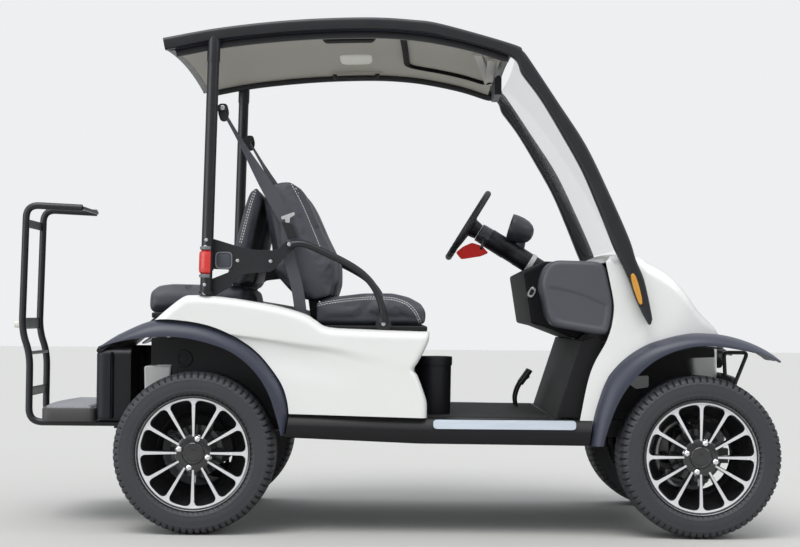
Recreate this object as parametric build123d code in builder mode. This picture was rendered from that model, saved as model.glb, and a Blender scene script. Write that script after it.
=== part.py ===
from build123d import *
import os
from math import atan2, cos, degrees, radians, sin

# Golf cart with two front seats and a rear-facing pair, in millimetres.
# +X is forward, +Y is the driver's left, +Z is up; the origin is on the ground below the
# middle of the whole length. Each with-block makes one piece; paired pieces share a block.

# ------------------------------------------------------------------ driving dimensions
WHEELBASE = 1665
FRONT_REACH = 271  # front axle to the tips of the front fenders
REAR_REACH = 716  # rear axle to the back of the reversing lamp
WIDTH = 1190  # over the fenders and over the tyres
CLEAR = 0.3  # running gap between pieces that only touch

TYRE_R = 266.5
TYRE_W = 205
RIM_R = 180  # where the tyre's bead sits
RIM_LIP = 9  # height of the rim's flange over the bead seat
RIM_W = 194
SPOKES = 12

FLOOR_TOP = 385
FLOOR_T = 15
FRAME_TOP = FLOOR_TOP - FLOOR_T
FRAME_H = 60
FRAME_HALF = 240  # centre of each chassis rail from the middle
FRAME_W = 50

BODY_INSET = 20  # white body sides in from the tyres' outer faces
BODY_T = 60  # depth of the moulded body sides
COWL_INSET = 30  # white cowl sides in from the body sides
COWL_T = 55  # depth of the moulded cowl sides
RAIL_INSET = 25  # centre of the roof rails, pillars and posts in from the body sides
RAIL_D = 40
ROOF_APEX = 1708  # top of the roof rails and of the roof panel's crown
POST_D = 40

KINGPIN_INSET = 62.5  # kingpins in from the middle of the tyres
STEER_ARM = 90

LENGTH = FRONT_REACH + WHEELBASE + REAR_REACH
XF = LENGTH / 2 - FRONT_REACH  # front axle
XR = XF - WHEELBASE  # rear axle
HALF = WIDTH / 2
HUB_Z = TYRE_R
WHEEL_Y = HALF - TYRE_W / 2
KINGPIN_HALF = WHEEL_Y - KINGPIN_INSET
BODY_HALF = HALF - BODY_INSET
BODY_IN = BODY_HALF - BODY_T
COWL_HALF = BODY_HALF - COWL_INSET
COWL_IN = COWL_HALF - COWL_T
RAIL_HALF = BODY_HALF - RAIL_INSET
SIDES = (("left", 1), ("right", -1))

os.makedirs("parts", exist_ok=True)


def side_plane(y):
    """Sketch plane square to the car's width at y; its x is X, its y is Z, it faces -Y."""
    return Plane.XZ.offset(-y)


def cross_plane(x, y, z):
    """Sketch plane square to the car's length with its origin at a point; it faces +X."""
    return Plane(origin=(x, y, z), x_dir=(0, 1, 0), z_dir=(1, 0, 0))


def front(points):
    """Points given forward of the front axle, moved into the car's frame."""
    return [(XF + x, z) for x, z in points]


def rear(points):
    """Points given forward of the rear axle, moved into the car's frame."""
    return [(XR + x, z) for x, z in points]


def arch(hub_x, rows):
    """Points round a wheel from rows of (angle from forward in degrees, gap to the tyre)."""
    return [
        (hub_x + (TYRE_R + gap) * cos(radians(angle)), HUB_Z + (TYRE_R + gap) * sin(radians(angle)))
        for angle, gap in rows
    ]


def arcs_through(points):
    """Three-point arcs through points 0-1-2, 2-3-4, and so on, in the current line."""
    for i in range(0, len(points) - 2, 2):
        ThreePointArc(points[i], points[i + 1], points[i + 2])


def save(piece, name):
    """Label a finished piece and write its file."""
    piece.part.label = name
    export_step(piece.part, f"parts/{name}.step")


def slab(points, y_low, y_high, mirrored=False):
    """A closed side outline, drawn in X and Z, thickened between two widths."""
    with BuildPart() as piece:
        with BuildSketch(side_plane(y_high)):
            with BuildLine():
                Polyline(*points, close=True)
            make_face()
        extrude(amount=y_high - y_low)
        if mirrored:
            mirror(about=Plane.XZ)
    return piece


# ------------------------------------------------------------------ wheels and tyres
# Tyre outline: (across the tread from its middle, radius), half of it; the tread is the
# only part that meets the ground.
TYRE_EDGE = (
    (RIM_W / 2 - 7, RIM_R + CLEAR),
    (RIM_W / 2 - 7, RIM_R + RIM_LIP + 2.5),
    (TYRE_W / 2 - 3, RIM_R + 18),
    (TYRE_W / 2, RIM_R + 42),
    (TYRE_W / 2 - 1.5, TYRE_R - 20),
    (TYRE_W / 2 - 14, TYRE_R - 5),
    (TYRE_W / 2 - 42, TYRE_R),
)
RIM_T = 9
SPOKE_OUT = 82  # outer face of the spokes from the wheel's middle
SPOKE_T = 24
HUB_R = 60
BORE_R = 15 + CLEAR
DISC_R = 88
DISC_T = 8
DISC_IN = -26  # inner face of the brake disc from the wheel's middle
WELL_R = 117  # opening of the funnel behind the spokes
# Rim section: (outward from the wheel's middle, radius). The barrel carries a funnel
# that narrows behind the spokes.
RIM_EDGE = (
    (-RIM_W / 2, RIM_R - RIM_T),
    (-RIM_W / 2, RIM_R + RIM_LIP),
    (6 - RIM_W / 2, RIM_R + RIM_LIP),
    (6 - RIM_W / 2, RIM_R),
    (RIM_W / 2 - 6, RIM_R),
    (RIM_W / 2 - 6, RIM_R + RIM_LIP),
    (RIM_W / 2, RIM_R + RIM_LIP),
    (RIM_W / 2, RIM_R - 4),
    (RIM_W / 2 - 40, RIM_R - 14),
    (22, RIM_R - 34),
    (-48, WELL_R),
    (-50, WELL_R + 5),
    (0, RIM_R - 34),
    (-20, RIM_R - RIM_T),
)
SPOKE_EDGE = (
    (HUB_R - 4, -5),
    (RIM_R - 28, -7),
    (RIM_R - 9, -24),
    (RIM_R - 9, 24),
    (RIM_R - 28, 7),
    (HUB_R - 4, 5),
)
WHEELS = (
    ("front_left", XF, 1),
    ("front_right", XF, -1),
    ("rear_left", XR, 1),
    ("rear_right", XR, -1),
)

for name, hub_x, sign in WHEELS:
    hub_y = sign * WHEEL_Y
    centre = cross_plane(hub_x, hub_y, HUB_Z)
    axle_line = Axis((hub_x, hub_y, HUB_Z), (0, 1, 0))

    with BuildPart() as tyre:
        with BuildSketch(centre):
            with BuildLine():
                outline = list(TYRE_EDGE) + [(-u, r) for u, r in reversed(TYRE_EDGE)]
                Polyline(*outline, close=True)
            make_face()
        revolve(axis=axle_line)
    save(tyre, f"tyre_{name}")

    with BuildPart() as rim:
        with BuildSketch(centre):
            with BuildLine():
                Polyline(*[(sign * u, r) for u, r in RIM_EDGE], close=True)
            make_face()
        revolve(axis=axle_line)
        face_plane = Plane(
            origin=(hub_x, hub_y + sign * (SPOKE_OUT - SPOKE_T), HUB_Z),
            x_dir=(1, 0, 0),
            z_dir=(0, sign, 0),
        )
        with BuildSketch(face_plane):
            with PolarLocations(0, SPOKES):
                Polygon(*SPOKE_EDGE, align=None)
        extrude(amount=SPOKE_T)
        hub_plane = Plane(
            origin=(hub_x, hub_y + sign * DISC_IN, HUB_Z), x_dir=(1, 0, 0), z_dir=(0, sign, 0)
        )
        with BuildSketch(hub_plane):
            Circle(HUB_R)
            Circle(BORE_R, mode=Mode.SUBTRACT)
        extrude(amount=SPOKE_OUT - DISC_IN - 6)
        with BuildSketch(hub_plane):
            Circle(DISC_R)
            Circle(HUB_R - 1, mode=Mode.SUBTRACT)
        extrude(amount=DISC_T)
    save(rim, f"rim_{name}")

# ------------------------------------------------------------------ chassis and axles
FRAME_BACK = XR - 290
FRAME_FRONT = XF + 105
CROSS_W = 40
CROSS_MEMBERS = (
    FRAME_BACK + CROSS_W / 2,
    XR + 170,
    XR + 560,
    XF - 560,
    XF - 150,
    FRAME_FRONT - CROSS_W / 2,
)

TOW_REACH = 60
TOW_T = 10
TOW_R = 10

with BuildPart() as chassis:
    frame_mid = (FRAME_BACK + FRAME_FRONT) / 2
    with Locations((frame_mid, FRAME_HALF, FRAME_TOP - FRAME_H / 2)):
        Box(FRAME_FRONT - FRAME_BACK, FRAME_W, FRAME_H)
    with Locations((frame_mid, -FRAME_HALF, FRAME_TOP - FRAME_H / 2)):
        Box(FRAME_FRONT - FRAME_BACK, FRAME_W, FRAME_H)
    # cross members, fitted between the rails
    with Locations(*[(x, 0, FRAME_TOP - FRAME_H / 2) for x in CROSS_MEMBERS]):
        Box(CROSS_W, 2 * (FRAME_HALF - FRAME_W / 2 - CLEAR), FRAME_H)
    # outriggers that carry the sills
    arm_in = FRAME_HALF + FRAME_W / 2 + CLEAR
    arm_mid = (arm_in + COWL_IN) / 2
    with Locations(
        *[(x, s * arm_mid, FRAME_TOP - 20) for x in CROSS_MEMBERS[2:4] for _, s in SIDES]
    ):
        Box(CROSS_W, COWL_IN - arm_in, 40)
    # tow tab under the footboard
    with Locations((FRAME_BACK - CLEAR - TOW_REACH / 2, 0, FRAME_TOP - FRAME_H + TOW_T / 2)):
        Box(TOW_REACH, 70, TOW_T)
    with Locations((FRAME_BACK - TOW_REACH + 22, 0, FRAME_TOP - FRAME_H + TOW_T / 2)):
        Cylinder(TOW_R, 2 * TOW_T, mode=Mode.SUBTRACT)
save(chassis, "chassis_frame")

AXLE_R = 34
STUB_R = 15
SPRING_Y = 300
SPRING_R = 32
STUB_TIP = WHEEL_Y + SPOKE_OUT - 20

with BuildPart() as rear_axle:
    with Locations(Location((XR, 0, HUB_Z), (90, 0, 0))):
        Cylinder(AXLE_R, 2 * (WHEEL_Y + DISC_IN - 12))
        Cylinder(STUB_R, 2 * STUB_TIP)
        Cylinder(88, 150)
    with Locations(Location((XR - 130, 60, HUB_Z + 10), (90, 0, 0))):
        Cylinder(72, 190)
    with Locations((XR - 75, 20, HUB_Z + 5)):
        Box(110, 90, 80)
    for _, s in SIDES:
        with Locations((XR, s * SPRING_Y, HUB_Z)):
            Box(96, 60, 84)
        # leaf spring under the chassis rail's outer side
        with Locations((XR + 10, s * SPRING_Y, HUB_Z + 50)):
            Box(560, 50, 18)
        for x in (XR - 262, XR + 282):
            hanger_in = FRAME_HALF + FRAME_W / 2 + CLEAR
            with Locations((x, s * (hanger_in + SPRING_Y + 25) / 2, HUB_Z + 65)):
                Box(22, SPRING_Y + 25 - hanger_in, 48)
save(rear_axle, "rear_axle")

LOWER_Z = HUB_Z - 97
UPPER_Z = HUB_Z + 84
ARM_T = 16
UPRIGHT_GAP = 5
PIN_R = 8

TOWER_W = 100
with BuildPart() as front_suspension:
    with Locations((XF, 0, FRAME_TOP - FRAME_H - 38)):
        Box(110, 2 * 232, 76)
    with Locations((XF, 0, LOWER_Z)):
        Box(110, 2 * 190, 40)
    with Locations((XF, 0, (LOWER_Z + FRAME_TOP - FRAME_H - 76) / 2)):
        Box(90, 300, FRAME_TOP - FRAME_H - 76 - LOWER_Z)
    for _, s in SIDES:
        # wishbones: (height of the arm, inner reach, spread at its inner end)
        for z, inner, spread in ((LOWER_Z, 185, 110), (UPPER_Z, 280, 100)):
            with BuildSketch(Plane.XY.offset(z - ARM_T / 2)):
                with BuildLine():
                    Polyline(
                        (XF - spread / 2, s * inner),
                        (XF + spread / 2, s * inner),
                        (XF + 16, s * (KINGPIN_HALF + 4)),
                        (XF - 16, s * (KINGPIN_HALF + 4)),
                        close=True,
                    )
                make_face()
                with Locations((XF, s * KINGPIN_HALF)):
                    Circle(18)
            extrude(amount=ARM_T)
        tower_y = FRAME_HALF + FRAME_W / 2 + CLEAR + 10
        tower_low = FRAME_TOP - FRAME_H - 76
        with Locations((XF, s * tower_y, (HUB_Z + 207 + tower_low) / 2)):
            Box(TOWER_W, 20, HUB_Z + 207 - tower_low)
        with Locations((XF, s * 245, tower_low + 38)):
            Box(110, 60, 60)
        with Locations((XF, s * KINGPIN_HALF, (LOWER_Z + UPPER_Z) / 2)):
            Cylinder(PIN_R, UPPER_Z - LOWER_Z)
        # coil spring and damper from the lower arm up to a bracket on the tower
        with Locations((XF, s * 318, (LOWER_Z + HUB_Z + 195) / 2)):
            Cylinder(SPRING_R, HUB_Z + 195 - LOWER_Z)
        with Locations((XF, s * 310, HUB_Z + 200)):
            Box(80, 80, 14)
save(front_suspension, "front_suspension")

KNUCKLE_LOW = LOWER_Z + ARM_T / 2 + UPRIGHT_GAP
KNUCKLE_HIGH = UPPER_Z - ARM_T / 2 - UPRIGHT_GAP
ARM_Z = HUB_Z - 40
CALIPER_GAP = 6

for name, s in SIDES:
    with BuildPart() as knuckle:
        with Locations((XF, s * KINGPIN_HALF, (KNUCKLE_LOW + KNUCKLE_HIGH) / 2)):
            Box(46, 34, KNUCKLE_HIGH - KNUCKLE_LOW)
        disc_inner = WHEEL_Y + DISC_IN
        stub_root = KINGPIN_HALF + 10
        with Locations(Location((XF, s * (stub_root + STUB_TIP) / 2, HUB_Z), (90, 0, 0))):
            Cylinder(STUB_R, STUB_TIP - stub_root)
        # steering arm, reaching back to the track rod's ball joint
        with Locations((XF - STEER_ARM / 2 - 8, s * (KINGPIN_HALF - 12), ARM_Z)):
            Box(STEER_ARM + 16, 18, 16)
        # brake caliper straddling the disc's front edge
        with Locations((XF + DISC_R - 6, s * (disc_inner + DISC_T / 2), HUB_Z)):
            Box(44, DISC_T + 2 * CALIPER_GAP + 24, 48)
        with Locations((XF + DISC_R - 22, s * (disc_inner + DISC_T / 2), HUB_Z)):
            Box(44 + CALIPER_GAP, DISC_T + 2 * CALIPER_GAP, 70, mode=Mode.SUBTRACT)
        with Locations((XF + 52, s * (disc_inner - CALIPER_GAP - 7), HUB_Z)):
            Box(60, 12, 40)
        with Locations((XF, s * KINGPIN_HALF, HUB_Z)):
            Cylinder(PIN_R + CLEAR, 400, mode=Mode.SUBTRACT)
        with Locations((XF - STEER_ARM, s * (KINGPIN_HALF - 12), ARM_Z)):
            Cylinder(6, 60, mode=Mode.SUBTRACT)
    save(knuckle, f"knuckle_{name}")

with BuildPart() as steering_rack:
    with Locations(Location((XF - STEER_ARM, 0, ARM_Z - 22), (90, 0, 0))):
        Cylinder(9, 2 * (KINGPIN_HALF - 12))
    for _, s in SIDES:
        with Locations((XF - STEER_ARM, s * (KINGPIN_HALF - 12), ARM_Z - 22)):
            Cylinder(13, 22)
save(steering_rack, "track_rods")

with BuildPart() as rack_housing:
    with Locations(Location((XF - STEER_ARM, 0, ARM_Z - 22), (90, 0, 0))):
        Cylinder(24, 330)
    # lugs on the back of the subframe
    with Locations(*[(XF - 78, side * 110, ARM_Z) for _, side in SIDES]):
        Box(46 - 2 * CLEAR, 30, 46)
    with Locations(Location((XF - STEER_ARM, 0, ARM_Z - 22), (90, 0, 0))):
        Cylinder(9 + CLEAR, 340, mode=Mode.SUBTRACT)
save(rack_housing, "rack_housing")

# ------------------------------------------------------------------ floor and sills
with BuildPart() as floor:
    with Locations(((XF - 470 + XR + 330) / 2, 0, FLOOR_TOP - FLOOR_T / 2)):
        Box(XF - 470 - XR - 330, 2 * COWL_IN, FLOOR_T)
save(floor, "floor_pan")

SILL_OUT = BODY_HALF - 5
SILL_IN = COWL_IN + CLEAR
# Fender edge rows: (angle from forward in degrees, gap to the tyre), from the low end to the tip.
FRONT_OUTER = (
    (174.8, 101),
    (168.3, 102),
    (161.9, 105.5),
    (151.1, 116),
    (141.9, 130),
    (133.7, 136),
    (125.8, 139),
    (115.5, 140),
    (106.1, 137.5),
    (95.1, 139),
    (84.5, 141.5),
    (67.0, 145.5),
    (49.6, 152),
)
FRONT_INNER = (
    (173.8, 57),
    (158.2, 54),
    (134.9, 68),
    (115.8, 85),
    (94.4, 97),
    (71.8, 107),
    (50.0, 141),
)
REAR_OUTER = (
    (11.7, 39),
    (17.2, 55),
    (22.7, 70.5),
    (29.8, 85),
    (37.7, 98.5),
    (48.5, 110),
    (60.4, 126),
    (70.9, 138),
    (82.5, 153),
    (95.0, 169),
    (107.2, 189),
    (120.2, 194),
    (133.0, 204),
)
REAR_INNER = (
    (11.8, 26),
    (27.5, 34),
    (50.9, 65),
    (70.7, 88),
    (87.0, 102),
    (111.6, 140),
    (133.3, 200),
)


def arch_face(hub_x, rows):
    """The space inside a fender's outer edge, as a flat face to cut from a side outline."""
    edge = arch(hub_x, [(angle, gap + CLEAR) for angle, gap in rows])
    low = min(z for _, z in edge) - 60
    with BuildSketch() as space:
        with BuildLine():
            arcs_through(edge)
            Polyline(edge[-1], (edge[-1][0], low), (edge[0][0], low), edge[0])
        make_face()
    return space.sketch


with BuildPart() as sills:
    with BuildSketch(side_plane(SILL_OUT)):
        with BuildLine():
            Polyline(
                (XR + 280, 396),
                (XR + 740, 387),
                (XF - 330, 382),
                (XF - 330, 300),
                (XR + 740, 303),
                (XR + 280, 320),
                close=True,
            )
        make_face()
        add(arch_face(XR, REAR_OUTER), mode=Mode.SUBTRACT)
        add(arch_face(XF, FRONT_OUTER), mode=Mode.SUBTRACT)
    extrude(amount=SILL_OUT - SILL_IN)
    long_edges = sills.edges().group_by(Axis.Y)[-1].filter_by(lambda e: e.length > 200)
    fillet(long_edges, 14)
    mirror(about=Plane.XZ)
save(sills, "sills")

# toe board rising from the floor to the dash
TOE_T = 10
with BuildPart() as toe_board:
    with BuildSketch(side_plane(COWL_IN - 10)):
        with BuildLine():
            Polyline(
                (XF - 470 + CLEAR, FLOOR_TOP),
                (XF - 385, 646),
                (XF - 385 + TOE_T, 646),
                (XF - 460 + TOE_T, FRAME_TOP + CLEAR),
                (XF - 470 + CLEAR, FRAME_TOP + CLEAR),
                close=True,
            )
        make_face()
    extrude(amount=2 * (COWL_IN - 10))
save(toe_board, "toe_board")

# ------------------------------------------------------------------ fenders and wheel housings
FENDER_OUT = HALF - 5
FENDER_LIP = 62  # width of the deep outer band
FENDER_T = 6  # thickness of the top behind the band
FENDERS = (
    ("front_fenders", XF, FRONT_OUTER, FRONT_INNER, HALF - 295),
    ("rear_fenders", XR, REAR_OUTER, REAR_INNER, HALF - 175),
)
for name, hub_x, outer_rows, inner_rows, inner_y in FENDERS:
    outer = arch(hub_x, outer_rows)
    inner = arch(hub_x, inner_rows)
    under = arch(hub_x, [(angle, gap - FENDER_T) for angle, gap in outer_rows])
    with BuildPart() as fenders:
        with BuildSketch(side_plane(FENDER_OUT)):
            with BuildLine():
                arcs_through(outer)
                Line(outer[-1], inner[-1])
                arcs_through(inner)
                Line(inner[0], outer[0])
            make_face()
        extrude(amount=FENDER_LIP)
        with BuildSketch(side_plane(FENDER_OUT - FENDER_LIP)):
            with BuildLine():
                arcs_through(outer)
                Line(outer[-1], under[-1])
                arcs_through(under)
                Line(under[0], outer[0])
            make_face()
        extrude(amount=FENDER_OUT - FENDER_LIP - inner_y)
        mirror(about=Plane.XZ)
    save(fenders, name)

FRONT_WALL = HALF - 323
REAR_WALL = WHEEL_Y - TYRE_W / 2 - 12
WALL_T = 4
HOUSING_LOW = FRAME_TOP + CLEAR
HOUSING_HIGH = 600
# (wheel centre, inner rows of the fender, inner face of the wall, its ends along the car)
HOUSINGS = (
    (XF, FRONT_INNER[:5], FRONT_WALL, XF - 310, XF - TOWER_W / 2 - CLEAR),
    (XR, REAR_INNER[1:6], REAR_WALL, XR - 150, XR + 262),
)
with BuildPart() as housings:
    for hub_x, rows, wall, x_low, x_high in HOUSINGS:
        edge = arch(hub_x, [(angle, gap - 3) for angle, gap in rows])
        with BuildSketch(side_plane(wall + WALL_T)):
            with BuildLine():
                arcs_through(edge)
                Polyline(edge[-1], (edge[-1][0], 0), (edge[0][0], 0), edge[0])
            make_face()
            with Locations(((x_low + x_high) / 2, (HOUSING_LOW + HOUSING_HIGH) / 2)):
                Rectangle(x_high - x_low, HOUSING_HIGH - HOUSING_LOW, mode=Mode.INTERSECT)
        extrude(amount=WALL_T)
    mirror(about=Plane.XZ)
save(housings, "wheel_housings")

# ------------------------------------------------------------------ white body
CREASE_STEP = 12  # how far the upper side stands out over the lower side
BODY_TOP = (
    (-135, 702),
    (-41, 782),
    (-9, 785),
    (53, 783),
    (123, 776),
    (164, 770),
    (274, 751),
    (363, 725),
    (396, 700),
    (440, 681),
    (772, 671),
    (769, 640),
    (754, 606),
    (721, 545),
)
BODY_FRONT = ((734, 525), (752, 478), (764, 437), (765, 387.3), (290, 396.5))
CREASE = ((633, 545), (549, 567), (447, 600), (280, 630), (117, 652), (-60, 680))

with BuildPart() as body_sides:
    with BuildSketch(side_plane(BODY_HALF - CREASE_STEP)):
        with BuildLine():
            Polyline(*rear(BODY_TOP), *rear(BODY_FRONT), (XR - 100, 600), close=True)
        make_face()
        add(arch_face(XR, REAR_OUTER), mode=Mode.SUBTRACT)
    extrude(amount=BODY_HALF - CREASE_STEP - BODY_IN)
    with BuildSketch(side_plane(BODY_HALF)):
        with BuildLine():
            Polyline(*rear(BODY_TOP), *rear(CREASE), close=True)
        make_face()
        add(arch_face(XR, REAR_OUTER), mode=Mode.SUBTRACT)
    extrude(amount=CREASE_STEP)
    mirror(about=Plane.XZ)
save(body_sides, "body_sides")

# seat box between the sides: heel board and stepped deck
DECK_T = 18
DECK_LOW = 689
DECK_HIGH = 727
HEEL_X = XR + 700
with BuildPart() as seat_box:
    with BuildSketch(side_plane(BODY_IN - CLEAR)):
        with BuildLine():
            Polyline(
                (XR - 150, DECK_HIGH),
                (XR + 190, DECK_HIGH),
                (XR + 190, DECK_LOW),
                (XR + 765, DECK_LOW),
                (XR + 765, DECK_LOW - DECK_T),
                (HEEL_X + 12, DECK_LOW - DECK_T),
                (HEEL_X + 12, FLOOR_TOP + CLEAR),
                (HEEL_X, FLOOR_TOP + CLEAR),
                (HEEL_X, DECK_LOW - DECK_T),
                (XR + 172, DECK_LOW - DECK_T),
                (XR + 172, DECK_HIGH - DECK_T),
                (XR - 150, DECK_HIGH - DECK_T),
                close=True,
            )
        make_face()
    extrude(amount=2 * (BODY_IN - CLEAR))
    # notches over the sills at the heel board's foot
    with Locations(*[(HEEL_X, side * BODY_IN, FLOOR_TOP) for _, side in SIDES]):
        Box(60, 2 * (BODY_IN - SILL_IN + CLEAR), 30, mode=Mode.SUBTRACT)
save(seat_box, "seat_box")

battery = slab(
    [
        (XR + 340, FLOOR_TOP + CLEAR),
        (XR + 660, FLOOR_TOP + CLEAR),
        (XR + 660, 640),
        (XR + 340, 640),
    ],
    -360,
    360,
)
save(battery, "battery_pack")

KICK_BACK = XR - 367
KICK_HALF = 330
KICK_LOW = 356
with BuildPart() as kick_panel:
    with BuildSketch(Plane.XY.offset(KICK_LOW)):
        with Locations((KICK_BACK + 10, 0)):
            Rectangle(20, 2 * KICK_HALF)
        with Locations(*[(KICK_BACK + 60, s * (KICK_HALF - 6)) for _, s in SIDES]):
            Rectangle(120, 12)
    extrude(amount=255)
    with BuildSketch(side_plane(KICK_HALF)):
        with BuildLine():
            Polyline(
                (KICK_BACK, 606),
                (KICK_BACK + 2, 622),
                (XR - 181, 727),
                (XR - 150 - CLEAR, 727),
                (XR - 150 - CLEAR, 711),
                (XR - 168, 711),
                (KICK_BACK + 22, 606),
                close=True,
            )
        make_face()
    extrude(amount=2 * KICK_HALF)
save(kick_panel, "kick_panel")

valance = slab(
    [(XR - 188, FRAME_TOP), (XR - 120, FRAME_TOP), (XR - 101, 545), (XR - 193, 545)],
    CLEAR - REAR_WALL,
    REAR_WALL - CLEAR,
)
save(valance, "rear_valance")

# ------------------------------------------------------------------ cowl, nose and dash
DOOR_EDGE = (
    (-312, 908),
    (-299, 846),
    (-287, 788),
    (-284, 749),
    (-291, 696),
    (-305, 652),
    (-317, 627),
    (-350, 568),
    (-372, 500),
    (-395, 383),
)
NOSE_X = 117  # front face of the nose ahead of the front axle
HOOD = (
    (-306, 909),
    (-293, 936),
    (-277, 945),
    (-217, 943),
    (-190, 937),
    (-164, 919),
    (-114, 893),
    (-74, 864),
    (-29, 818),
    (7, 775),
    (50, 735),
    (84, 706),
    (NOSE_X, 668),
)

with BuildPart() as cowl_sides:
    with BuildSketch(side_plane(COWL_HALF)):
        with BuildLine():
            Polyline(
                *front(reversed(HOOD[:6])),
                *front(DOOR_EDGE),
                (XF - 330, 383),
                (XF - 164, 560),
                close=True,
            )
        make_face()
        add(arch_face(XF, FRONT_OUTER), mode=Mode.SUBTRACT)
    extrude(amount=COWL_HALF - COWL_IN)
    mirror(about=Plane.XZ)
save(cowl_sides, "cowl_sides")

# nose: the hood's outline across the car, tapered in plan, hollow from below
SKIN = 22
NOSE_PLAN = ((-340, 545), (-60, 500), (20, 430), (84, 330), (NOSE_X, 250))
with BuildPart() as nose:
    with BuildSketch(side_plane(COWL_HALF)):
        with BuildLine():
            Polyline(*front(HOOD[2:]), (XF + NOSE_X, 640), (XF + HOOD[2][0], 640), close=True)
        make_face()
        add(arch_face(XF, FRONT_OUTER), mode=Mode.SUBTRACT)
    extrude(amount=2 * COWL_HALF)
    with BuildSketch(side_plane(250)):
        with BuildLine():
            Polyline(*front([(NOSE_X, 668), (NOSE_X, 400), (-60, 400), (-60, 668)]), close=True)
        make_face()
    extrude(amount=2 * 250)
    with BuildSketch():
        with BuildLine():
            half_plan = [(XF + x, y) for x, y in NOSE_PLAN]
            Polyline(*half_plan, *[(x, -y) for x, y in reversed(half_plan)], close=True)
        make_face()
    extrude(amount=1200, mode=Mode.INTERSECT)
    # room for the cowl sides
    with BuildSketch(Plane.XY.offset(300)):
        with Locations(*[(XF - 164 - 200 + CLEAR, s * COWL_HALF) for _, s in SIDES]):
            Rectangle(400, 2 * (COWL_HALF - COWL_IN + CLEAR))
    extrude(amount=800, mode=Mode.SUBTRACT)
    # hollow under the skin, open at the bottom
    with BuildSketch(side_plane(250 - SKIN)):
        with BuildLine():
            Polyline(
                *front([(x, z - SKIN) for x, z in HOOD[3:11]]),
                *front([(NOSE_X - SKIN, 706 - 2 * SKIN), (NOSE_X - SKIN, 390), (-217, 390)]),
                close=True,
            )
        make_face()
    extrude(amount=2 * (250 - SKIN), mode=Mode.SUBTRACT)
save(nose, "nose")

DASH_BACK = XF - 572
POD_IN = 380
DASH_FRONT = XF + HOOD[2][0] - CLEAR
DASH_OUTLINE = [
    (DASH_BACK, 875),
    (XF - 500, 912),
    (XF - 306, 909),
    (DASH_FRONT, 930),
    (DASH_FRONT, 760),
    (XF - 330, 700),
    (XF - 386, 646.5),
    (XF - 500, 690),
    (DASH_BACK + 28, 700),
]
dash = slab(DASH_OUTLINE, -POD_IN + CLEAR, POD_IN - CLEAR)
save(dash, "dash")

with BuildPart() as dash_pods:
    with BuildSketch(side_plane(535)):
        with BuildLine():
            Polyline(
                (XF - 499, 910),
                (XF - 486, 915),
                (XF - 313, 906),
                (XF - 287, 787),
                (XF - 285, 749),
                (XF - 292, 696),
                (XF - 302, 664),
                (XF - 483, 693),
                (XF - 497, 712),
                (XF - 512, 781),
                (XF - 528, 833),
                (XF - 522, 861),
                close=True,
            )
        make_face()
    extrude(amount=535 - POD_IN)
    # cut back to the cowl side's door edge
    with BuildSketch(side_plane(COWL_HALF)):
        with BuildLine():
            Polyline(*front([(x - CLEAR, z) for x, z in DOOR_EDGE]), (XF, 382), (XF, 908), close=True)
        make_face()
    extrude(amount=COWL_HALF - COWL_IN + CLEAR, mode=Mode.SUBTRACT)
    mirror(about=Plane.XZ)
save(dash_pods, "dash_pods")

# ------------------------------------------------------------------ front bumper and lamps
BAR_HALF = 285
STAY_R = 7
STAY_Y = BAR_HALF + CLEAR + STAY_R
STAY_ROUTE = ((130, 530), (126, 606), (207, 606), (160, 488), (130, 488))
NOSE_FACE = XF + NOSE_X + CLEAR
with BuildPart() as front_bumper:
    with BuildSketch(side_plane(BAR_HALF)):
        with BuildLine():
            Polyline(
                (NOSE_FACE, 425),
                (NOSE_FACE, 535),
                (NOSE_FACE + 14, 535),
                (NOSE_FACE + 60, 520),
                (NOSE_FACE + 68, 500),
                (NOSE_FACE + 60, 478),
                (NOSE_FACE + 14, 465),
                (NOSE_FACE + 8, 425),
                close=True,
            )
        make_face()
    extrude(amount=2 * BAR_HALF)
with BuildPart() as bumper_stays:
    with BuildLine() as path:
        FilletPolyline(*[(XF + x, STAY_Y, z) for x, z in STAY_ROUTE], radius=12)
    with BuildSketch(Plane(origin=path.line @ 0, z_dir=path.line % 0)):
        Circle(STAY_R)
    sweep()
    mirror(about=Plane.XZ)
save(front_bumper, "front_bumper")
save(bumper_stays, "bumper_stays")

LAMP_R = 52
with BuildPart() as headlamps:
    with BuildSketch(Plane(origin=(NOSE_FACE, 0, 600), x_dir=(0, 1, 0), z_dir=(1, 0, 0))):
        with Locations((-165, 0), (165, 0)):
            Circle(LAMP_R)
    extrude(amount=26)
save(headlamps, "headlamps")

# ------------------------------------------------------------------ roof, pillars and windscreen
RAIL_OUT = RAIL_HALF + RAIL_D / 2
RAIL_IN = RAIL_HALF - RAIL_D / 2
CROWN_R = 7000
CROWN_Z = ROOF_APEX - CROWN_R
COWL_TOP = 950
# (forward of the front axle, share of the height from the cowl's top to the roof's apex)
PILLAR_FRONT = ((-627, 0.889), (-592, 0.859), (-563, 0.809), (-384, 0.454), (-240, 0.051))
PILLAR_FOOT = ((-215, 913), (-188, 847), (-163, 732), (-168, 699), (-212, 776), (-245, 864))
PILLAR_BACK = ((-286, -0.003), (-395, 0.338), (-532, 0.646), (-592, 0.752), (-641, 0.84))
# (forward of the rear axle, drop below the roof's apex)
RAIL_TOP = ((-117, 74), (227, 18.7), (574, 0), (805, 20))
RAIL_LOW = ((800, 60), (574, RAIL_D), (233, 58.4), (-109, 114))


def pillar(points):
    """Points from a table of shares of the height between the cowl and the roof."""
    return [(XF + x, COWL_TOP + share * (ROOF_APEX - COWL_TOP)) for x, share in points]


def roof_line(points):
    """Points from a table of drops below the roof's apex."""
    return [(XR + x, ROOF_APEX - drop) for x, drop in points]


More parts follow.
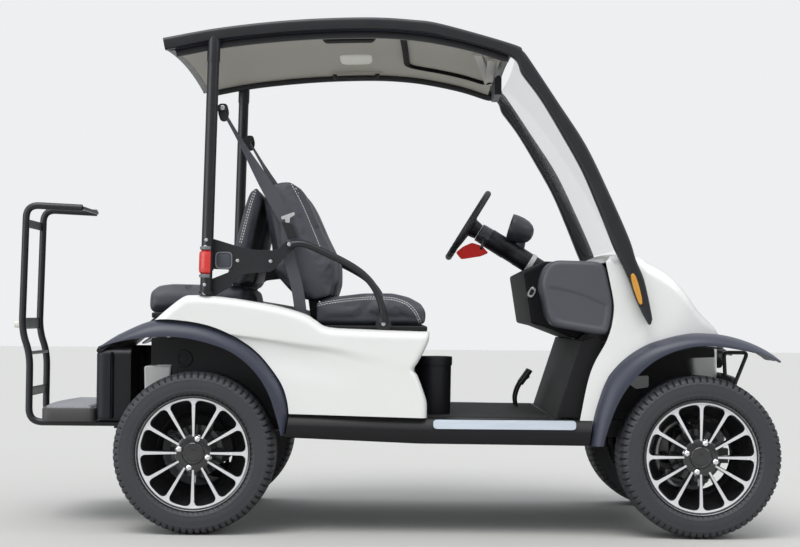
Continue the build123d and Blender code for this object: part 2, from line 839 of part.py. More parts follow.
def crowned_beam(x_low, x_high, z_low, z_high, half_width):
    """A beam across the car whose top and bottom follow the roof's crown."""
    lean = degrees(half_width / CROWN_R)
    with BuildPart() as beam:
        start = Plane(
            origin=(0, 0, CROWN_Z),
            x_dir=(1, 0, 0),
            z_dir=(0, -cos(radians(lean)), sin(radians(lean))),
        )
        with BuildSketch(start):
            with Locations(((x_low + x_high) / 2, (z_low + z_high) / 2 - CROWN_Z)):
                Rectangle(x_high - x_low, z_high - z_low)
        revolve(axis=Axis((0, 0, CROWN_Z), (1, 0, 0)), revolution_arc=2 * lean)
    return beam.part


BEAM_BACK = XR - 112
BEAM_FRONT = XF - 618
with BuildPart() as roof_frame:
    with BuildSketch(side_plane(RAIL_OUT)):
        with BuildLine():
            top = roof_line(RAIL_TOP)
            low = roof_line(RAIL_LOW)
            outer = pillar(PILLAR_FRONT)
            inner = pillar(PILLAR_BACK)
            arcs_through([*top, *outer])
            Polyline(outer[-1], *front(PILLAR_FOOT), inner[0])
            arcs_through([*inner, *low])
            Line(low[-1], top[0])
        make_face()
    extrude(amount=RAIL_D)
    # the foot lies on the outside of the cowl
    with Locations((XF - 250, RAIL_IN, 825)):
        Box(300, 2 * (COWL_HALF + CLEAR - RAIL_IN), 270, mode=Mode.SUBTRACT)
    mirror(about=Plane.XZ)
    add(crowned_beam(BEAM_BACK, BEAM_BACK + 30, ROOF_APEX - 112, ROOF_APEX - 74, RAIL_IN + 6))
    add(crowned_beam(BEAM_FRONT - 34, BEAM_FRONT, ROOF_APEX - 112, ROOF_APEX - 81, RAIL_IN + 6))
save(roof_frame, "roof_frame")

ROOF_T = 24
with BuildPart() as roof_panel:
    half = RAIL_IN - CLEAR - 2
    lean = degrees(half / CROWN_R)
    start = Plane(
        origin=(0, 0, CROWN_Z), x_dir=(1, 0, 0), z_dir=(0, -cos(radians(lean)), sin(radians(lean)))
    )
    roof_back = BEAM_BACK + 30 + CLEAR
    roof_front = BEAM_FRONT - 34 - CLEAR
    with BuildSketch(start):
        top = [
            (roof_back, CROWN_R - 69),
            (XR + 230, CROWN_R - 18.5),
            (XR + 574, CROWN_R),
            (XR + 802, CROWN_R - 20),
            (roof_front, CROWN_R - 75),
        ]
        low = [(x, r - ROOF_T) for x, r in reversed(top)]
        with BuildLine():
            arcs_through(top)
            Line(top[-1], low[0])
            arcs_through(low)
            Line(low[-1], top[0])
        make_face()
    revolve(axis=Axis((0, 0, CROWN_Z), (1, 0, 0)), revolution_arc=2 * lean)
save(roof_panel, "roof_panel")

# windscreen: curved sections between the pillars
GLASS_T = 5
# (share of the height from cowl to apex, x at the pillars, bulge ahead of them)
SCREEN = ((0.013, -262, 30), (0.449, -420, 26), (0.842, -612, 14))
with BuildPart() as windscreen:
    for share, x, bulge in SCREEN:
        height = COWL_TOP + share * (ROOF_APEX - COWL_TOP)
        with BuildSketch(Plane.XY.offset(height)):
            half = RAIL_IN - CLEAR
            with BuildLine():
                ThreePointArc((XF + x, half), (XF + x + bulge, 0), (XF + x, -half))
                Line((XF + x, -half), (XF + x - GLASS_T, -half))
                ThreePointArc(
                    (XF + x - GLASS_T, -half),
                    (XF + x - GLASS_T + bulge, 0),
                    (XF + x - GLASS_T, half),
                )
                Line((XF + x - GLASS_T, half), (XF + x, half))
            make_face()
    loft()
save(windscreen, "windscreen")

mirror_x = BEAM_FRONT - 20
with BuildPart() as cab_mirror:
    with Locations((mirror_x - 10, 0, ROOF_APEX - 163)):
        Box(24, 220, 62)
    with Locations((mirror_x - 4, 0, ROOF_APEX - 137.5)):
        Box(14, 20, 51 - 2 * CLEAR)
save(cab_mirror, "mirror")

POST_FOOT = (XR + 33, 786.5)
POST_TOP = (XR + 51, ROOF_APEX - 87)
LAMP_T = 10
lean_x = (POST_TOP[0] - POST_FOOT[0]) / (POST_TOP[1] - POST_FOOT[1])
with BuildPart() as rear_posts:
    foot = Plane(origin=(POST_FOOT[0], RAIL_HALF, POST_FOOT[1]), z_dir=(lean_x, 0, 1))
    with BuildSketch(foot):
        Circle(POST_D / 2)
    extrude(amount=POST_TOP[1] - POST_FOOT[1])
    # carrier of the belt's upper guide
    with Locations((XR + 62, RAIL_HALF - 38, ROOF_APEX - 298)):
        Box(34, 56, 30)
    mirror(about=Plane.XZ)
save(rear_posts, "rear_posts")

with BuildPart() as tail_lamps:
    with BuildSketch(foot.offset(64)):
        Circle(POST_D / 2 + LAMP_T)
        Circle(POST_D / 2 + CLEAR, mode=Mode.SUBTRACT)
    extrude(amount=84)
    mirror(about=Plane.XZ)
save(tail_lamps, "tail_lamps")

with BuildPart() as side_lamps:
    with BuildSketch(side_plane(RAIL_OUT + CLEAR + 5)):
        with Locations(Location((XF - 214, 817, 0), (0, 0, degrees(atan2(-117, 54))))):
            SlotOverall(128, 28)
    extrude(amount=5)
    mirror(about=Plane.XZ)
save(side_lamps, "side_lamps")

# ------------------------------------------------------------------ seats
SEAT_GAP = 22  # half the space between the left and right seats
SEAT_OUT = BODY_IN - 70
CUSHION = (
    (383, DECK_LOW + CLEAR),
    (382, 764),
    (438, 776),
    (549, 790),
    (649, 791),
    (705, 778),
    (738, 761),
    (766, 750),
    (772, 730),
    (769, DECK_LOW + CLEAR),
)
BACKREST = (
    (300, 806),
    (245, 870),
    (245, 945),
    (212, 1130),
    (222, 1165),
    (265, 1180),
    (304, 1183),
    (321, 1161),
    (355, 1100),
    (395, 1010),
    (423, 955),
    (446, 899),
    (447, 779),
    (384, 766),
)
REAR_CUSHION = (
    (-178, DECK_HIGH + CLEAR),
    (-183, 745),
    (-181, 794),
    (-169, 806),
    (-107, 814),
    (19, 812),
    (150, 811),
    (160, DECK_HIGH + CLEAR),
)
REAR_BACK = (
    (84, 812.5),
    (119, 952),
    (138, 1031),
    (154, 1092),
    (176, 1159),
    (193, 1165),
    (204, 1132),
    (177, 1031),
    (161, 947),
    (137, 812.5),
)
SEATS = (
    ("front_cushions", CUSHION),
    ("front_backrests", BACKREST),
    ("rear_cushions", REAR_CUSHION),
    ("rear_backrests", REAR_BACK),
)
for name, outline in SEATS:
    save(slab(rear(outline), SEAT_GAP, SEAT_OUT, mirrored=True), name)

PLATE_OUT = BODY_IN - CLEAR
PLATE_T = 6
PLATE = (
    (23, DECK_HIGH + CLEAR),
    (23, 790),
    (35, 976),
    (52, 973),
    (123, 952),
    (173, 938),
    (262, 936),
    (283, 956),
    (300, 972),
    (320, 962),
    (327, 945),
    (295, 923),
    (251, 867),
    (196, 861),
    (147, 855),
    (108, 811),
    (60, 785),
    (60, DECK_HIGH + CLEAR),
)
with BuildPart() as side_plates:
    with BuildSketch(side_plane(PLATE_OUT)):
        with BuildLine():
            Polyline(*rear(PLATE), close=True)
        make_face()
    extrude(amount=PLATE_T)
    # speaker box in the plate's window
    with Locations((XR + 87, PLATE_OUT - 12, 892)):
        Box(72, 30, 78)
    # pivot boss that carries the front backrest
    with Locations(Location((XR + 262, (PLATE_OUT + SEAT_OUT) / 2, 900), (90, 0, 0))):
        Cylinder(12, PLATE_OUT - SEAT_OUT - 2 * CLEAR)
    mirror(about=Plane.XZ)
save(side_plates, "side_plates")

ARM_R = 12
ARM_Y = PLATE_OUT + ARM_R + CLEAR
ARM_ROUTE = ((300, 955), (352, 962), (521, 886), (590, 822), (618, 745), (620, 678))
with BuildPart() as armrests:
    with BuildLine() as path:
        FilletPolyline(*[(XR + x, ARM_Y, z) for x, z in ARM_ROUTE], radius=45)
    with BuildSketch(Plane(origin=path.line @ 0, z_dir=path.line % 0)):
        Circle(ARM_R)
    sweep()
    mirror(about=Plane.XZ)
save(armrests, "armrests")

BELT_W = 46
BELT_T = 2.4
BELT_TOP = (XR + 80, ROOF_APEX - 316)
BELT_TONGUE = (XR + 296, 1040)
BELT_FOOT = (XR + 348, DECK_LOW + CLEAR)
BELT_Y = BODY_IN - 29
with BuildPart() as belts:
    slope = atan2(BELT_TONGUE[1] - BELT_TOP[1], BELT_TONGUE[0] - BELT_TOP[0])
    across = Vector(-sin(slope), cos(slope)) * (BELT_W / 2)
    corners = [
        (BELT_TOP[0] + across.X, BELT_TOP[1] + across.Y),
        (BELT_TONGUE[0] + across.X, BELT_TONGUE[1] + across.Y),
        (BELT_TONGUE[0] - across.X, BELT_TONGUE[1] - across.Y),
        (BELT_TOP[0] - across.X, BELT_TOP[1] - across.Y),
    ]
    with BuildSketch(side_plane(BELT_Y)):
        with BuildLine():
            Polyline(*corners, close=True)
        make_face()
    extrude(amount=BELT_T)
    with BuildSketch(side_plane(BELT_Y + BELT_W / 2 - 5)):
        with BuildLine():
            Polyline(
                BELT_TONGUE,
                (BELT_TONGUE[0] + BELT_T, BELT_TONGUE[1]),
                (BELT_FOOT[0] + BELT_T, BELT_FOOT[1]),
                BELT_FOOT,
                close=True,
            )
        make_face()
    extrude(amount=BELT_W - 6)
    mirror(about=Plane.XZ)
save(belts, "seat_belts")

# ------------------------------------------------------------------ steering
STEER_Y = 270
STEER_TILT = 31.5  # the column's fall towards the front
WHEEL_MID = (XF - 736, 1066)
STEER_R = 140
STEER_RIM_R = 11
steer_dir = (cos(radians(STEER_TILT)), 0, -sin(radians(STEER_TILT)))
hub_point = (WHEEL_MID[0], STEER_Y, WHEEL_MID[1])
steer_plane = Plane(origin=hub_point, x_dir=(0, 1, 0), z_dir=steer_dir)

with BuildPart() as steering_wheel:
    with BuildSketch(Plane(origin=hub_point, x_dir=(0, 1, 0), z_dir=(-steer_dir[2], 0, steer_dir[0]))):
        with Locations((STEER_R, 0)):
            Circle(STEER_RIM_R)
    revolve(axis=Axis(hub_point, steer_dir))
    with BuildSketch(steer_plane.offset(-4)):
        Circle(36)
        for turn in (0, 180, 270):
            with Locations(Location((0, 0, 0), (0, 0, turn))):
                with Locations((STEER_R / 2, 0)):
                    Rectangle(STEER_R, 26)
    extrude(amount=8)
    with BuildSketch(steer_plane.offset(-14)):
        Circle(36)
    extrude(amount=50)
    with BuildSketch(steer_plane.offset(8)):
        Circle(9 + CLEAR)
    extrude(amount=60, mode=Mode.SUBTRACT)
save(steering_wheel, "steering_wheel")

COLUMN_R = 27
with BuildPart() as column:
    with BuildSketch(steer_plane.offset(42)):
        Circle(COLUMN_R)
    extrude(amount=290)
    with BuildSketch(steer_plane.offset(12)):
        Circle(9)
    extrude(amount=32)
    with BuildSketch(side_plane(STEER_Y + 60)):
        with BuildLine():
            Polyline(*[(x, z + CLEAR) for x, z in DASH_OUTLINE], close=True)
        make_face()
    extrude(amount=120, mode=Mode.SUBTRACT)
save(column, "steering_column")

POD_R = 54
POD_DEPTH = 96
pod_face = Vector(XF - 572, STEER_Y, 1060)
pod_dir = (cos(radians(17)), 0, -sin(radians(17)))
with BuildPart() as instrument_pod:
    plane = Plane(origin=pod_face, x_dir=(0, 1, 0), z_dir=(-pod_dir[2], 0, pod_dir[0]))
    with BuildSketch(plane):
        with BuildLine():
            Polyline(
                (0, 0),
                (POD_R, 0),
                (POD_R, -30),
                (POD_R - 10, -62),
                (POD_R - 28, -86),
                (0, -POD_DEPTH),
                close=True,
            )
        make_face()
    revolve(axis=Axis(pod_face, pod_dir))
    # bracket down to the column
    with Locations((XF - 532, STEER_Y, 984)):
        Box(44, 30, 50)
    with BuildSketch(steer_plane.offset(20)):
        Circle(COLUMN_R + CLEAR)
    extrude(amount=320, mode=Mode.SUBTRACT)
save(instrument_pod, "instrument_pod")

PEDALS = ((205, 62), (320, 74))  # (middle across the car, width)
with BuildPart() as pedals:
    for y, width in PEDALS:
        with BuildSketch(side_plane(y + width / 2)):
            with BuildLine():
                Polyline(
                    (XF - 560, FLOOR_TOP + CLEAR),
                    (XF - 548, FLOOR_TOP + CLEAR),
                    (XF - 478, 520),
                    (XF - 486, 526),
                    close=True,
                )
            make_face()
        extrude(amount=width)
save(pedals, "pedals")

BIN_R = 66
BIN_H = 200
BIN_WALL = 5
with BuildPart() as bin_:
    with BuildSketch(Plane.XY.offset(FLOOR_TOP + CLEAR)):
        with Locations((XR + 789, -300)):
            Circle(BIN_R)
    extrude(amount=BIN_H)
    with BuildSketch(Plane.XY.offset(FLOOR_TOP + CLEAR + BIN_WALL)):
        with Locations((XR + 789, -300)):
            Circle(BIN_R - BIN_WALL)
    extrude(amount=BIN_H, mode=Mode.SUBTRACT)
save(bin_, "litter_bin")

# ------------------------------------------------------------------ footboard and grab bar
BAR_R = 12.5
BAR_Y = 147
BAR_LOW = FRAME_TOP - FRAME_H / 2 - 3
BOARD_LOW = BAR_LOW + BAR_R + CLEAR
BOARD_T = 54
BOARD_HALF = 327
with BuildPart() as footboard:
    with BuildSketch(Plane.XY.offset(BOARD_LOW)):
        with BuildLine():
            ThreePointArc((XR - 549, -BOARD_HALF), (XR - 577, 0), (XR - 549, BOARD_HALF))
            Polyline(
                (XR - 549, BOARD_HALF),
                (KICK_BACK - CLEAR, BOARD_HALF),
                (KICK_BACK - CLEAR, -BOARD_HALF),
                (XR - 549, -BOARD_HALF),
            )
        make_face()
    extrude(amount=BOARD_T)
save(footboard, "footboard")

BAR_ROUTE = (
    (-453, 1094),
    (-650, 1103),
    (-660, 657),
    (-631, 575),
    (-632, BAR_LOW),
    (-290 - CLEAR, BAR_LOW),
)
BAR_BENDS = (45, 60, 60, 45)
TIES = (
    (-453, 1094, 12, 12),
    (-655, 1040, 4, 30),
    (-660, 684, 5, 40),
    (-631, 580, 12, 12),
    (-632, 444, 5, 32),
    (-470, BAR_LOW, 25, 20),
)
with BuildPart() as grab_bar:
    with BuildLine() as path:
        FilletPolyline(*[(XR + x, BAR_Y, z) for x, z in BAR_ROUTE], radius=BAR_BENDS)
    with BuildSketch(Plane(origin=path.line @ 0, z_dir=path.line % 0)):
        Circle(BAR_R)
    sweep()
    mirror(about=Plane.XZ)
    # ties across the two tubes: (x, z, length along the car, height)
    for x, z, long, high in TIES:
        with Locations((XR + x, 0, z)):
            Box(long, 2 * BAR_Y, high)
save(grab_bar, "grab_bar")

with BuildPart() as reversing_lamp:
    lamp_back = -LENGTH / 2
    lamp_front = XR - 663 - CLEAR
    with Locations(((lamp_back + lamp_front) / 2, 0, 680)):
        Box(lamp_front - lamp_back, 90, 28)
save(reversing_lamp, "reversing_lamp")
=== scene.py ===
import bmesh
import bpy
import numpy as np
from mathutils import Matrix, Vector


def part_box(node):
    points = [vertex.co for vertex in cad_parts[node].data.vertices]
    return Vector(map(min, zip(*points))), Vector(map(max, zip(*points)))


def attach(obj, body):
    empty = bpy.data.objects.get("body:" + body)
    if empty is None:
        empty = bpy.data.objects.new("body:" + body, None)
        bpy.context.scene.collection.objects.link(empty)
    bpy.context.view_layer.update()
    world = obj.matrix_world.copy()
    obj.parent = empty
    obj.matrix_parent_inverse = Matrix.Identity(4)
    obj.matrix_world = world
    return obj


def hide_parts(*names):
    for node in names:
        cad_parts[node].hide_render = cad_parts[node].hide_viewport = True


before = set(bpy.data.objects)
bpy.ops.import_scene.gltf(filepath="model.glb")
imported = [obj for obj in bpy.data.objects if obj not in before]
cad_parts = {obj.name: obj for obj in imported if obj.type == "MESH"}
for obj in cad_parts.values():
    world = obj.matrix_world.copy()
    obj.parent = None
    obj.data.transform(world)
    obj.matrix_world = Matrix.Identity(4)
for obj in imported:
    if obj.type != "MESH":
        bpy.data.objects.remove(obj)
scene = bpy.context.scene
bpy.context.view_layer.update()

# -----
# Studio: a low soft sun and one panel lamp, with the camera level with the seats and a little
# ahead of the middle of the car, looking at its right side.
CAMERA_AT = (0.064, -6.2, 0.725)
CAMERA_PITCH = 1.39
CAMERA_ROLL = -0.5
CAMERA_LENS = 77.1


def placed(name, data, at, towards=None):
    """Puts a camera or a lamp in the scene, turned to face along a direction."""
    made = bpy.data.objects.new(name, data)
    made.location = at
    if towards:
        made.rotation_euler = Vector(towards).to_track_quat("-Z", "Y").to_euler()
    scene.collection.objects.link(made)
    return made


camera_data = bpy.data.cameras.new("camera")
camera_data.lens = CAMERA_LENS
camera = placed("camera", camera_data, CAMERA_AT)
camera.rotation_euler = np.radians([90 + CAMERA_PITCH, CAMERA_ROLL, 0])
scene.camera = camera
scene.view_settings.view_transform = "Standard"

sun = bpy.data.lights.new("soft_sun", "SUN")
sun.energy, sun.angle, sun.color = 1.5, np.radians(35), (1, 0.99, 0.97)
placed("soft_sun", sun, (0, 0, 0), (0.3, 0.75, -1.5))
panel = bpy.data.lights.new("front_panel", "AREA")
panel.shape = "RECTANGLE"
panel.size, panel.size_y, panel.energy = 2.4, 1.4, 22
placed("front_panel", panel, (4.4, -1.6, 3), (-4.4, 1.6, -2.3))


def math_node(operation, turned_round=False):
    """A method that adds one Math node for a wire and the values given, in either order."""

    def method(wire, *others):
        values = (*others, wire) if turned_round else (wire, *others)
        return wire.finish.node("Math", {"operation": operation}, dict(enumerate(values)))

    return method


class Wire:
    """A shader socket that takes part in Python sums: each operator adds one Math node."""

    def __init__(self, finish, socket):
        self.finish = finish
        self.socket = socket

    __add__ = __radd__ = math_node("ADD")
    __mul__ = __rmul__ = math_node("MULTIPLY")
    __sub__ = math_node("SUBTRACT")
    __rsub__ = math_node("SUBTRACT", turned_round=True)
    above = math_node("GREATER_THAN")
    sine = math_node("SINE")
    most = math_node("MAXIMUM")
    least = math_node("MINIMUM")


class Finish:
    """One material: a Principled surface and the nodes that feed it."""

    def __init__(self, name, colour, roughness, metallic=0, **uniform):
        self.material = bpy.data.materials.new(name)
        self.material.use_nodes = True
        self.tree = self.material.node_tree
        self.surface = self.tree.nodes["Principled BSDF"]
        self.colour = (*colour, 1)
        self.feed("Base Color", self.colour)
        self.feed("Roughness", roughness)
        self.feed("Metallic", metallic)
        for socket, value in uniform.items():
            self.feed(socket.replace("_", " "), value)

    def put(self, socket, value):
        if isinstance(value, Wire):
            self.tree.links.new(value.socket, socket)
        else:
            socket.default_value = value

    def feed(self, socket, value):
        self.put(self.surface.inputs[socket], value)

    def node(self, kind, settings, values, out=0):
        """Adds a shader node: its settings first, then the values or wires of its sockets."""
        made = self.tree.nodes.new("ShaderNode" + kind)
        for setting, value in settings.items():
            setattr(made, setting, value)
        for socket, value in values.items():
            self.put(made.inputs[socket], value)
        return Wire(self, made.outputs[out])

    def place(self):
        """Object coordinates, in metres in the car's frame."""
        return self.node("TexCoord", {}, {}, "Object")

    def axes(self, vector):
        """The X, Y and Z of a vector."""
        return [self.node("SeparateXYZ", {}, {0: vector}, axis) for axis in "XYZ"]

    def noise(self, scale, detail=2, vector=None):
        """Soft noise from 0 to 1, scale lumps to the metre."""
        values = {"Vector": vector or self.place(), "Scale": scale, "Detail": detail}
        return self.node("TexNoise", {}, values)

    def mix(self, factor, first, second):
        """A colour between two colours."""
        return self.node("Mix", {"data_type": "RGBA"}, {0: factor, 6: first, 7: second}, 2)

    def tint(self, mask, shade, amount=1):
        """Mixes a shade into the base colour where the mask is 1."""
        base = self.surface.inputs["Base Color"]
        first = Wire(self, base.links[0].from_socket) if base.is_linked else self.colour
        self.feed("Base Color", self.mix(mask * amount, first, (*shade, 1)))

    def bump(self, height, distance, strength=1):
        """Raises the surface by height times distance, in metres, in the shading only."""
        values = {"Height": height, "Distance": distance, "Strength": strength}
        before = self.surface.inputs["Normal"]
        if before.is_linked:
            values["Normal"] = Wire(self, before.links[0].from_socket)
        self.feed("Normal", self.node("Bump", {}, values))

    def uneven(self, least, spread, scale, detail):
        """Lets the roughness wander from least to least + spread."""
        self.feed("Roughness", least + self.noise(scale, detail) * spread)

    def clouded(self, scale, detail, shade, amount):
        """Mixes a shade in where the noise is high."""
        self.tint(self.noise(scale, detail), shade, amount)

    def grained(self, scale, distance, strength):
        """A fine grain, scale grains to the metre."""
        self.bump(self.noise(scale, 1), distance, strength)


def moulded(name, colour, roughness, grain=900, depth=0.0003, **uniform):
    """Moulded plastic or satin paint: fine grain, faint dust and slightly uneven gloss."""
    finish = Finish(name, colour, roughness, **uniform)
    finish.uneven(roughness - 0.05, 0.1, 6, 4)
    lighter = tuple(min(1, c * 1.18 + 0.004) for c in colour)
    finish.clouded(14, 5, lighter, 0.35)
    finish.grained(grain, depth, 0.25)
    return finish

# -----
# Tyres: four moulded rubber road tyres, with a smooth bulging sidewall, a raised ring near
# the shoulder, four grooves round the tread and slanted sipes that run out over the edge.
TYRE_ROWS = 72  # sipes round the tyre
TYRE_STEPS = 9  # samples from one sipe to the next
# across the tread, radius (mm): bead, sidewall, shoulder and tread, up to the middle
TYRE_SHAPE = np.array([
    (88, 186), (90, 190), (95, 193), (99.5, 200), (102, 212), (102.4, 224), (101.6, 237),
    (100.2, 246), (97, 253.5), (91, 259), (82, 262.6), (70, 265), (50, 266.1), (25, 266.4), (0, 266.5)])
GROOVES = (-48, -17, 17, 48)
RUBBER = (0.024, 0.025, 0.031)


def whole_turn(count):
    """Evenly spaced angles once round."""
    return np.linspace(0, 2 * np.pi, count, endpoint=False)


def grid(*axes):
    """Points from their coordinates, which are broadcast together."""
    return np.stack(np.broadcast_arrays(*axes), axis=-1)


def unit(vectors):
    """Vectors drawn out or in to a length of 1."""
    return vectors / np.linalg.norm(vectors, axis=-1, keepdims=True)


def curve(knots, count):
    """A smooth line through knots: cubics whose slope at each knot is half the step from the
    knot before it to the knot after it (Catmull and Rom's curve)."""
    knots = np.asarray(knots, float)
    line = np.vstack([2 * knots[0] - knots[1], knots, 2 * knots[-1] - knots[-2]])
    spans = len(line) - 3
    along = np.linspace(0, spans, count)
    span = np.minimum(along.astype(int), spans - 1)
    t = (along - span)[:, None]
    a, b, c, d = (line[span + k] for k in range(4))
    slopes = 2 * b + (c - a) * t
    return 0.5 * (slopes + (2 * a - 5 * b + 4 * c - d) * t**2 + (3 * b - a - 3 * c + d) * t**3)


def net(points, wrap_u=False, wrap_v=False, finish=0):
    """A U x V net of points and its quads: one to each cell, closed on itself where it wraps.
    finish is the number of the piece's finish, for all cells, for each row or for each."""
    rows, columns = points.shape[:2]
    number = np.arange(rows * columns).reshape(rows, columns)
    if wrap_u:
        number = np.vstack([number, number[:1]])
    if wrap_v:
        number = np.hstack([number, number[:, :1]])
    cells = grid(number[:-1, :-1], number[1:, :-1], number[1:, 1:], number[:-1, 1:])
    finish = np.array(finish)[:, None] if np.ndim(finish) == 1 else finish
    marks = np.broadcast_to(finish, cells.shape[:2]).ravel()
    return points.reshape(-1, 3), cells.reshape(-1, 4), marks


def pair(nets):
    """The same nets and their reflections in the car's middle plane."""
    flip = np.array([1, -1, 1])
    return [*nets, *[(points * flip, cells, marks) for points, cells, marks in nets]]


def piece(name, nets, finishes, slot, *stands_for, body="chassis", crease=38):
    """Makes one part from nets in metres: doubles merged, faces turned outwards, smooth up to
    the crease angle, with its finishes, the nodes it replaces and its body. slot is not used."""
    starts = np.cumsum([0] + [len(points) for points, _, _ in nets])
    corners = [cells + start for (_, cells, _), start in zip(nets, starts)]
    mesh = bpy.data.meshes.new(name)
    faces = [face for cells in corners for face in cells.tolist()]
    mesh.from_pydata(np.concatenate([points for points, _, _ in nets]).tolist(), [], faces)
    marks = np.concatenate([marks for _, _, marks in nets]).astype(np.int32)
    mesh.polygons.foreach_set("material_index", marks)
    work = bmesh.new()
    work.from_mesh(mesh)
    bmesh.ops.remove_doubles(work, verts=work.verts, dist=2e-5)
    bmesh.ops.recalc_face_normals(work, faces=work.faces)
    work.to_mesh(mesh)
    work.free()
    mesh.shade_smooth()
    mesh.set_sharp_from_angle(angle=np.radians(crease))
    for finish in finishes:
        mesh.materials.append(finish.material)
    made = bpy.data.objects.new(name, mesh)
    scene.collection.objects.link(made)
    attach(made, body)
    if stands_for:
        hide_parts(*stands_for)
    return made


WHEELS = {}
for wheel in ("front_left", "front_right", "rear_left", "rear_right"):
    low, high = np.array(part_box(f"tyre_{wheel}"))
    WHEELS[wheel] = ((low + high) / 2, np.sign(low[1] + high[1]))
XF, XR = WHEELS["front_left"][0][0], WHEELS["rear_left"][0][0]
HUB_Z = WHEELS["front_left"][0][2]


def turned(wheel, across, radius, angle):
    """Points of a wheel from mm outward, mm from its axle and the angle from straight up."""
    middle, side = WHEELS[wheel]
    out = grid(radius * np.sin(angle), side * across, radius * np.cos(angle))
    return middle + out / 1000


def tread_depth(across, angle):
    """How deep the tread is cut, in mm: flat-bottomed grooves round the tyre, and slanted sipes
    whose depth fades towards the middle and down the sidewall."""
    cut = np.zeros(np.broadcast(across, angle).shape)
    for groove in GROOVES:
        cut = np.maximum(cut, 6 * np.clip(2.2 - np.abs(across - groove) / 2.2, 0, 1))
    turn = angle * TYRE_ROWS / (2 * np.pi) + np.minimum(np.abs(across), 60) / 26
    phase = np.abs((turn + 0.5) % 1 - 0.5)
    shoulder = np.clip((np.abs(across) - 54) / 6, 0, 1) * np.clip((101.6 - np.abs(across)) / 4, 0, 1)
    cut = np.maximum(cut, 4.6 * np.clip(2 - phase / 0.085, 0, 1) * shoulder)
    middle = np.clip((52 - np.abs(across)) / 4, 0, 1) * 2.6
    return np.maximum(cut, middle * np.clip(2 - phase / 0.06, 0, 1))


rubber = Finish("tyre_rubber", RUBBER, 0.72)
dust = rubber.noise(9, 6)
rubber.tint(dust, (0.06, 0.058, 0.058), 0.4)
rubber.uneven(0.46, 0.25, 40, 3)
rubber.grained(1500, 0.0002, 0.35)

# Painted shade: the bottoms of the deep grooves and sipes take a near-black copy of the rubber, for the
# shade that falls in them.
groove_painted_shade = moulded("tread_grooves_painted_shade", (0.005, 0.005, 0.006), 0.8)
half = curve(TYRE_SHAPE, 58)
profile = np.vstack([half, half[-2::-1] * [-1, 1]])
# (radius, half width, height) of the raised rings, mm
RINGS = ((204, 2.4, 1.7), (222, 1.5, 0.5), (241.5, 2, 1.1))
raised = sum(high * np.exp(-(((profile[:, 1] - radius) / wide) ** 2)) for radius, wide, high in RINGS)
round_angle = whole_turn(TYRE_ROWS * TYRE_STEPS)[:, None]
depth = tread_depth(profile[None, :, 0], round_angle)
tyre_across = (profile[:, 0] + np.sign(profile[:, 0]) * raised)[None, :]
tyre_across = np.clip(tyre_across - np.sign(profile[:, 0]) * depth * 0.35, -102.5, 102.5)
tyre_radius = profile[None, :, 1] - depth
inside = np.array([(-88, 183), (0, 182.5), (88, 183)])
tyre_across = np.hstack([tyre_across, np.tile(inside[:, 0], (len(depth), 1))])
tyre_radius = np.hstack([tyre_radius, np.tile(inside[:, 1], (len(depth), 1))])
# deep marks the cells more than 2.2 mm down a groove or sipe; these get the painted shade.
deep = np.zeros(tyre_radius.shape, int)
deep[:, : depth.shape[1] - 1] = np.minimum(depth[:, :-1], depth[:, 1:]) > 2.2
for wheel in WHEELS:
    shape = net(turned(wheel, tyre_across, tyre_radius, round_angle), True, True, deep)
    node = f"tyre_{wheel}"
    piece(f"{node}_rubber", [shape], [rubber, groove_painted_shade], "tyre", node, body=f"wheel_{wheel}")

# -----
# Wheels: cast aluminium, painted gloss black and then turned bright on the faces of the
# twelve spokes and of the rim band; a black hub with a plain cap and four plated nuts.
BAND_IN, BAND_OUT, BAND_FACE = 174, 186, 88
SPOKE_COUNT = 12
SPOKE_WIDE = (4.2, 7)  # half widths at the hub and at the band
SPOKE_ROUND = 17  # corner radius where a spoke runs into the band
HUB_EDGE = 61
NUT_CIRCLE, NUT_TURN = 49, 16
BRIGHT = (0.8, 0.8, 0.82)
GLOSS_BLACK = (0.01, 0.01, 0.012)

bright = Finish("turned_aluminium", BRIGHT, 0.25, metallic=0.5)
lathe = bright.node("Attribute", {"attribute_name": "from_axle"}, {}, "Fac")
bright.uneven(0.19, 0.12, 60, 2)
bright.bump((lathe * 4.2).sine(), 0.00002, 0.5)
gloss = Finish("gloss_black_paint", GLOSS_BLACK, 0.16, Coat_Weight=0.6, Coat_Roughness=0.06)
gloss.uneven(0.14, 0.14, 25, 3)
gloss.clouded(30, 5, (0.05, 0.048, 0.046), 0.35)
plated = Finish("plated_nuts", (0.86, 0.86, 0.88), 0.12, metallic=1)
plated.uneven(0.08, 0.16, 90, 2)


def spun(wheel, profile, steps=120, finish=0, wrap=True):
    """A profile of (mm outward, radius) turned once round the wheel's axle."""
    profile = np.asarray(profile, float)
    angle = whole_turn(steps)[:, None]
    return net(turned(wheel, profile[None, :, 0], profile[None, :, 1], angle), True, wrap, finish)


